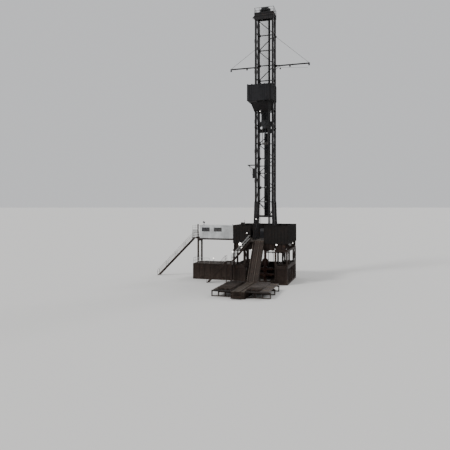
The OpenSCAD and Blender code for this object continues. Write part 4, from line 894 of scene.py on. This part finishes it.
def ramp_details():
    """Side rails, slats and wear strips on the ramp, lighter strips of worn steel on the rails and the middle
    whose lightness is partly a painted highlight, and the V-door's posts.
    """
    x0, y0, _, x1, y1, _ = box_of("v_door_ramp")
    middle = (x0 + x1) / 2
    foot = Vector((0, y0, box_of("catwalk")[5] - 0.05))
    along = Vector((0, y1, FLOOR_Z)) - foot
    lift = Vector((0, -along.z, along.y)).normalized()

    def strip(piece, x, up, width, depth):
        start = foot + lift * up + Vector((x, 0, 0))
        piece.bar(start, start + along, width, depth)

    steel = Piece("ramp_details", "base_steel")
    for x in (x0 + 0.02, x1 - 0.02):
        strip(steel, x, 0.09, 0.03, 0.05)
        for k in range(15):
            at = foot + along * (k + 0.3) / 15 + Vector((x, 0, 0))
            steel.bar(at, at + lift * 0.08, 0.03)
    for k in range(26):
        at = foot + along * (k + 0.5) / 26 + lift * 0.008
        steel.bar(at + Vector((x0 + 0.05, 0, 0)), at + Vector((x1 - 0.05, 0, 0)), 0.018, 0.012)
    # Light strips on the side rails and the middle: worn steel whose lightness is partly a painted highlight
    # of the lit rails
    rails = Piece("ramp_rails", "worn_steel_and_painted_highlight")
    for x, up in ((x0 + 0.02, 0.105), (x1 - 0.02, 0.105), (middle + 0.06, 0.02)):
        strip(rails, x, up, 0.04, 0.02)
    wear = Piece("ramp_wear_strips", "pipe_steel")
    for x in (-0.28, -0.12, 0.24, 0.36):
        strip(wear, middle + x, 0.014, 0.06, 0.008)
    posts = Piece("v_door_posts", "windwall")
    posts.slab([x0 - 0.02, x1 - 0.03], FLOOR_FRONT, FLOOR_Z, 0.06, 0.08, 1.46)


def catwalk_details():
    """Deck plates, a V-shaped trough, side plates, end steps and a pipe."""
    x0, y0, _, x1, y1, top = box_of("catwalk")
    deck = top - 0.05
    middle = (x0 + x1) / 2
    plates = Piece("catwalk_plates", "deck_steel")
    for left, right in ((x0 + 0.045, middle - 0.245), (middle + 0.245, x1 - 0.045)):
        plates.slab(left, steps(y0 + 0.01, 0.499, 10), deck, right - left, 0.485, 0.008)
    for s in BOTH:
        trough = ((0.2, 0.045), (0.2, 0.035), (0.01, 0), (0, 0.012))
        plates.prism([(middle + s * out, y0, deck + up) for out, up in trough], (0, y1 - y0, 0))
    steel = Piece("catwalk_details", "base_steel")
    steel.slab([x0 - 0.015, x1], steps(y0 + 0.32, 0.62, 8), 0.05, 0.015, 0.06, top - 0.05)
    for k in range(5):
        z = deck - 0.1 * (k + 1)
        steel.rib(middle, 0.35, y0 - 0.06 * (k + 1) - 0.01, y0 - 0.06 * k, z, z + 0.012)
    string = ((0, deck), (0, deck - 0.09), (0.29, 0), (0.35, 0), (0.33, 0.06))
    for x in (middle - 0.36, middle + 0.35):
        steel.prism([(x, y0 - out, z) for out, z in string], (0.012, 0, 0))
    steel.rod_x(y0 + 0.03, 0.3, x0 + 0.05, x1 - 0.05, 0.04, 14)


def pipe_details():
    """Tool joints and end caps on the pipes, part of a second layer, and laths."""
    x0, y0, z0, x1, y1, z1 = box_of("rack_pipe")
    deck_x0, _, _, deck_x1, _, _ = box_of("catwalk")
    radius = (z1 - z0) / 2
    pitch = 2 * radius + 0.006
    z = z0 + radius
    joints = Piece("pipe_joints", "pipe_steel")
    caps = Piece("pipe_caps", "machine_grey")
    second = Piece("pipe_second_layer", "pipe_steel")
    laths = Piece("pipe_laths", "lath_wood")
    for side, edge, end in ((-1, deck_x0, x0), (1, deck_x1, x1)):
        count = round(abs(end - edge) / pitch)
        for i in range(count):
            x = edge + side * (0.006 + radius + i * pitch)
            joints.rod_y(x, z, y0 - 0.05, y0 + 0.13, radius, 14)
            joints.rod_y(x, z, y1 - 0.16, y1 + 0.03, radius, 14)
            caps.rod_y(x, z, y0 - 0.075, y0 - 0.05, radius * 0.82, 14)
            caps.rod_y(x, z, y1 + 0.03, y1 + 0.05, radius * 0.82, 14)
            if i < count - 3 and (side < 0 or i < 9):
                start, stop = y0 + 0.1 * (i % 3), y1 - 0.25 - 0.06 * (i % 2)
                second.rod_y(x, z1 + radius + 0.012, start, stop, radius * 0.92, 14)
        laths.fin(span(y0 + 0.6, y1 - 0.6, 3), 0.03, edge, end, z1, z1 + 0.012)


# Doghouse, tank and stairs

# Each front window's distance from the left end, and its width
WINDOWS = ((0.23, 0.77), (1.52, 0.75))
WINDOW_Z = 4.715
WINDOW_H = 0.335


def doghouse_details():
    """Panel ribs, corner posts, a roof edge, window and door frames, a fan unit, vents and a skid."""
    x0, y0, z0, x1, y1, z1 = box_of("doghouse_walls")
    sill, head = WINDOW_Z, WINDOW_Z + WINDOW_H
    low, high = z0 + 0.03, z1 - 0.03
    openings = [(x0 + start, x0 + start + width) for start, width in WINDOWS]
    profile = ((-0.022, 0), (0.022, 0), (0.012, 0.012), (-0.012, 0.012))
    panels = Piece("doghouse_panels", "doghouse_paint")
    for x in span(x0 + 0.06, x1 - 0.06, 34):
        cut = any(a - 0.06 < x < b + 0.06 for a, b in openings)
        front = ((low, sill - 0.05), (head + 0.05, high)) if cut else ((low, high),)
        for y, way, parts in ((y0, -1, front), (y1, 1, ((low, high),))):
            for start, end in parts:
                panels.prism([(x + dx, y + way * dy, start) for dx, dy in profile], (0, 0, end - start))
    for y in span(y0 + 0.07, y1 - 0.07, 9):
        if not y0 + 0.26 < y < y0 + 0.79:
            panels.prism([(x0 - out, y + dy, low) for dy, out in profile], (0, 0, high - low))
    panels.slab([x0 - 0.015, x1 - 0.05], [y0 - 0.015, y1 - 0.035], z0, 0.05, 0.05, z1 - z0)
    panels.slab(x0 - 0.03, [y0 - 0.03, y1 + 0.005], z1 - 0.015, x1 - x0 + 0.03, 0.025, 0.09)
    panels.box((x0 - 0.035, y0 - 0.03, z1 - 0.015), (x0 - 0.01, y1 + 0.03, z1 + 0.075))
    panels.fin(span(y0 + 0.1, y1 - 0.1, 6), 0.008, x0, x1, z1 + 0.06, z1 + 0.072)
    trims = Piece("doghouse_trims", "machine_grey")
    for a, b in openings:
        for left, right, low, high in (
            (a - 0.03, b + 0.03, sill - 0.03, sill), (a - 0.03, b + 0.03, head, head + 0.03),
            (a - 0.03, a, sill, head), (b, b + 0.03, sill, head),
            ((a + b) / 2 - 0.012, (a + b) / 2 + 0.012, sill, head),
        ):
            trims.box((left, y0 - 0.014, low), (right, y0 + 0.004, high))
    for a, b, low, high in ((0.29, 0.3, 0, 1.06), (0.75, 0.76, 0, 1.06), (0.29, 0.76, 1.05, 1.07)):
        trims.box((x0 - 0.012, y0 + a, z0 + low), (x0 + 0.004, y0 + b, z0 + high))
    trims.rod_z(x0 - 0.03, y0 + 0.36, z0 + 0.48, z0 + 0.62, 0.008, 8)
    for z in (z0 + 0.15, z0 + 0.85):
        trims.rod_z(x0 - 0.006, y0 + 0.755, z - 0.04, z + 0.04, 0.012, 8)
    trims.box((x0 + 1.4, y1, z0 + 0.35), (x0 + 2.1, y1 + 0.22, z0 + 0.8))
    trims.slab(x0 + 1.45, y1 + 0.22, span(z0 + 0.39, z0 + 0.75, 9), 0.6, 0.008, 0.02)
    for x, low, high, radius, sides in (
        (3.35, 0.06, 0.14, 0.03, 14), (3.35, 0.14, 0.165, 0.055, 18), (0.3, 0.06, 0.3, 0.025, 12)
    ):
        trims.rod_z(x0 + x, y0 + 0.35, z1 + low, z1 + high, radius, sides)
    trims.rod((x0 + 0.22, y0 + 0.35, z1 + 0.4), (x0 + 0.38, y0 + 0.35, z1 + 0.32), 0.085, 18)
    under = Piece("doghouse_skid", "base_steel")
    x0, y0, z0, x1, y1, _ = box_of("doghouse_floor")
    under.fin([y0, y1], 0.02, x0 - 0.03, x1, z0 - 0.05, z0 + 0.1)
    under.rib(span(x0 + 0.1, x1 - 0.1, 12), 0.02, y0, y1, z0 - 0.04, z0)


def tank_details():
    """Hatches, roof seams, drain flanges, a ladder and a level gauge."""
    x0, y0, _, x1, y1, _ = box_of("doghouse_tank")
    roof = box_of("doghouse_tank_roof")[5]
    steel = Piece("tank_details", "base_steel")
    bolts = Piece("tank_bolts", "bright_steel")
    for x in (x0 + 0.7, x1 - 0.75):
        steel.rod_z(x, y1 - 0.32, roof, roof + 0.03, 0.2, 28)
        bolts.bolts(circle((x, y1 - 0.32, roof + 0.03), 0.175, 12), UP, 0.009, 0.012)
    steel.rib(span(x0 + 0.4, x1 - 0.4, 7), 0.006, y0 + 0.02, y1 - 0.02, roof, roof + 0.006)
    for x in (x0 + 1.0, x1 - 0.95):
        steel.rod_y(x, 0.28, y0 + 0.04, y0 - 0.06, 0.045, 16)
        steel.rod_y(x, 0.28, y0 - 0.03, y0 - 0.06, 0.08, 20)
        bolts.bolts(circle((x, y0 - 0.06, 0.28), 0.065, 8, "y"), (0, -1, 0), 0.008, 0.012)
    ladder_x = x1 + 0.08
    left, right = y1 - 0.75, y1 - 0.55
    for y in (left, right):
        steel.bar((ladder_x, y, 0.05), (ladder_x, y, roof + 0.4), 0.012, 0.03)
        for z in (0.3, 1.4):
            steel.bar((x1 - 0.045, y, z), (ladder_x, y, z), 0.02)
    steel.rod_y(ladder_x, steps(0.2, RUNG, 10), left, right, 0.008, 6)
    steel.rod_z(x0 + 2.2, y0 + 0.02, 0.2, 1.4, 0.012, 8)


def railing(piece, start, end, posts):
    """Two tubes on posts between two points on a level floor."""
    a, b = Vector(start), Vector(end)
    lift = Vector((0, 0, RAIL_H))
    for share in (0.5, 1.0):
        piece.rod(a + lift * share, b + lift * share, TUBE, 8)
    for share in span(0, 1, posts):
        at = a.lerp(b, share)
        piece.rod(at, at + lift, TUBE * 0.85, 8)


def rail_details():
    """The front stair's upper handrails, a railing on the tank, and a wind frame with its post."""
    # These tubes are galvanised, their light colour partly a painted highlight where the handrails catch the
    # light
    tubes = Piece("handrail_tubes", "galvanised_and_painted_highlight")
    _, y0, _, x1, y1, _ = box_of("front_stair_treads")
    head = x1 - 0.01
    foot = head - UPPER_STEPS * GOING
    for y in (y0 - 0.01, y1 + 0.01):
        for z in (FLOOR_Z + RAIL_H / 2 - TUBE, FLOOR_Z + RAIL_H - TUBE):
            tubes.rod((foot, y, z - UPPER_STEPS * RISE), (head, y, z), TUBE, 8)
    x0, y0, _, _, y1, roof = box_of("doghouse_tank_roof")
    dog_x, _, _, _, _, dog_top = box_of("doghouse_roof")
    corner = (x0 + 0.04, y0 + 0.04, roof)
    railing(tubes, corner, (dog_x + 1.35, y0 + 0.04, roof), 4)
    railing(tubes, corner, (x0 + 0.04, y1 - 0.04, roof), 5)
    x0, y0, _, x1, _, _ = box_of("landing")
    y = y0 + 0.02
    tubes.rod_x(y, [FLOOR_Z + up for up in (0.85, 1.07, 1.28)], x0 + 0.03, x1 - 0.2, TUBE, 8)
    tubes.rod_z([x0 + 0.03, (x0 + x1 - 0.2) / 2], y, FLOOR_Z, FLOOR_Z + 1.28, TUBE, 8)
    tubes.fin(y, 0.006, x0 + 0.05, x1 - 0.25, FLOOR_Z + 0.6, FLOOR_Z + 0.84)
    post = Piece("landing_post", "base_steel")
    x0 = box_of("doghouse_posts")[0]
    post.box((x0 + 0.02, y - 0.02, FLOOR_Z), (x0 + 0.12, y + 0.08, dog_top + 0.12))


def stair_details():
    """Nosings and gratings on the treads and the landing, and toe plates."""
    treads = Piece("tread_nosings", "deck_steel")
    for node in ("main_stair_treads", "front_stair_treads"):
        for x0, y0, _, x1, y1, top in map(corners, solids_of(node)):
            treads.box((x0 - 0.004, y0, top - 0.012), (x0 + 0.008, y1, top + 0.006))
            treads.fin(span(y0 + 0.015, y1 - 0.015, 13), 0.002, x0 + 0.01, x1 - 0.005, top, top + 0.005)
    toes = Piece("landing_toe_plates", "base_steel")
    x0, y0, _, x1, y1, _ = box_of("landing")
    toes.slab(x0, [y0, y1 - 0.006], FLOOR_Z, x1 - x0, 0.006, 0.07)
    toes.fin(span(y0 + 0.03, y1 - 0.03, 30), 0.002, x0 + 0.01, x1 - 0.01, FLOOR_Z, FLOOR_Z + 0.008)


# Machines on the floor and in the mast

def drawworks_details():
    """Line wound on the drum, brake discs, louvres, bolts and covers."""
    _, y0, _, _, y1, _ = box_of("drawworks")
    y = (y0 + y1) / 2
    line = Piece("drum_line", "wire_rope")
    for x in span(-0.425, 0.425, 31):
        line.hoop((x, y, FLOOR_Z + 0.52), 0.233, 0.013, RIGHT, 24)
    parts = Piece("drawworks_parts", "machine_grey")
    for x in (-0.494, 0.482):
        parts.rod_x(y, FLOOR_Z + 0.52, x, x + 0.012, 0.39, 36)
    bolts = Piece("drawworks_bolts", "bright_steel")
    for s in BOTH:
        x = s * 0.7
        parts.rib(x, 0.19, y - 0.19, y + 0.19, FLOOR_Z + 0.95, FLOOR_Z + 0.965)
        parts.rod_y(x, FLOOR_Z + 0.4, y - 0.4, y - 0.415, 0.15, 24)
        parts.slab(x - 0.15, y + 0.4, span(FLOOR_Z + 0.2, FLOOR_Z + 0.6, 6), 0.3, 0.01, 0.04)
        feet = [y + dy for dy in (-0.38, -0.13, 0.13, 0.38)]
        bolts.rod_z(s * 0.95, feet, FLOOR_Z + 0.1, FLOOR_Z + 0.125, 0.018, 6)
        bolts.bolts(circle((x, y - 0.415, FLOOR_Z + 0.4), 0.125, 10, "y"), (0, -1, 0), 0.01, 0.012)


def rotary_details():
    """The master bushing's ring and its pins, a mat under the pipe stands and the deck's seams."""
    top = box_of("rotary_table")[5]
    ring = Piece("rotary_ring", "bright_steel")
    ring.hoop((0, 0, top + 0.004), 0.3, 0.012, UP, 40)
    ring.bolts(circle((0, 0, top), 0.36, 12), UP, 0.014, 0.012)
    mats = Piece("setback_mats", "lath_wood")
    x0, y0, _, _, y1, _ = box_of("racked_pipe")
    mats.slab(steps(x0 - 0.06, 0.07, 5), y0 - 0.14, FLOOR_Z, 0.064, y1 - y0 + 0.34, 0.022)
    seams = Piece("deck_seams", "deck_steel")
    for start, end in ((FLOOR_FRONT + 0.05, -0.62), (1.0, FLOOR_BACK - 0.05)):
        seams.rib(span(FLOOR_LEFT + 0.5, FLOOR_RIGHT - 0.5, 5), 0.01, start, end, FLOOR_Z, FLOOR_Z + 0.004)


def top_drive_details():
    """Fins, covers, bolts and a saver sub, and the carriage's rollers and ribs."""
    base = box_of("top_drive")[5] - 2.5
    fins = Piece("top_drive_fins", "machine_grey", GEAR)
    for z in steps(base + 1.05, 0.038, 18):
        fins.rod_z([-0.19, 0.19], 0, z, z + 0.012, 0.185, 28)
    fins.rod_z([-0.19, 0.19], 0, base + 1.75, base + 1.83, 0.13, 24)
    fins.slab(-0.345, -0.315, [base + 0.47, base + 0.9], 0.69, 0.615, 0.03)
    fins.rib(span(-0.28, 0.28, 6), 0.008, -0.32, -0.3, base + 0.5, base + 0.9)
    fins.rod_y(0, base + 0.7, -0.3, -0.36, 0.12, 24)
    bolts = Piece("top_drive_bolts", "bright_steel", GEAR)
    bolts.rod_y(span(-0.31, 0.31, 8), [base + 0.485, base + 0.915], -0.315, -0.327, 0.01, 6)
    bolts.bolts(circle((0, -0.36, base + 0.7), 0.095, 8, "y"), (0, -1, 0), 0.009, 0.01)
    bolts.bolts(circle((0, 0, base + 0.45), 0.28, 16), (0, 0, -1), 0.01, 0.012)
    bolts.rod_z(0, 0, base - 0.62, base - 0.5, 0.046, 16)
    x0, y0, z0, x1, _, z1 = box_of("guide_carriage")
    _, beam_y, _, beam_x, _, _ = box_of("guide_beam")
    rollers = Piece("carriage_rollers", "bright_steel", GEAR)
    sides = [beam_x - GUIDE_W - 0.045, beam_x + 0.045]
    for z in (z0 + 0.1, z0 + 0.3, z1 - 0.3, z1 - 0.1):
        rollers.rod_z(sides, beam_y - 0.055, z - 0.03, z + 0.03, 0.03, 14)
    ribs = Piece("carriage_ribs", "mast_steel", GEAR)
    for low, high in ((z0 + 0.02, z0 + 0.32), (z1 - 0.42, z1 - 0.02)):
        ribs.rib(span(x0 + 0.1, x1 - 0.1, 9), 0.008, y0 - 0.025, y0, low, high)


def block_details():
    """Guards, straps, hubs and nuts on the block, and rings on the links."""
    x0, _, z0, x1, _, z1 = box_of("travelling_block")
    shaft = z0 + 0.56
    steel = Piece("block_details", "machine_grey", GEAR)
    nuts = Piece("block_nuts", "bright_steel", GEAR)
    for s, x in ((-1, x0), (1, x1)):
        steel.rod_x(0, shaft, x, x + s * 0.06, 0.1, 24)
        steel.fin(0, 0.05, x, x + s * 0.02, z0 + 0.05, z1 - 0.1)
        nuts.rod_x([-0.12, 0.12], [z0 + 0.06, shaft - 0.2, shaft + 0.2], x, x + s * 0.025, 0.018, 6)
    for t in map(math.radians, steps(-160, 40, 9)):
        y, z = 0.375 * math.sin(t), shaft + 0.375 * math.cos(t)
        steel.bar((x0 + 0.03, y, z), (x1 - 0.03, y, z), 0.05, 0.012)
    links = Piece("elevator_parts", "bright_steel", GEAR)
    _, _, z0, _, _, z1 = box_of("elevator_links")
    for x in (-0.26, 0.26):
        links.hoop((x, 0, z0 + 0.1), 0.055, 0.02, AHEAD, 16)
        links.hoop((x, 0, z1 - 0.02), 0.06, 0.02, AHEAD, 16)
    links.hoop((0, 0, z0 + 0.11), 0.195, 0.014, UP, 28)
    links.rod_z(0.12, -0.19, z0 + 0.02, z0 + 0.2, 0.018)


# Finish

for build in (
    mast_gussets, mast_flange_bolts, mast_ladder, mast_services, back_details, line_parts, foot_details,
    crown_details, board_details, boom_details, lamp_heads, box_details, floor_beam_details,
    windwall_details, preventer_details, ramp_details, catwalk_details, pipe_details, doghouse_details,
    tank_details, stair_details, rail_details, drawworks_details, rotary_details, top_drive_details,
    block_details,
):
    build()
for piece in Piece.made:
    piece.done()
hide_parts("drilling_line")
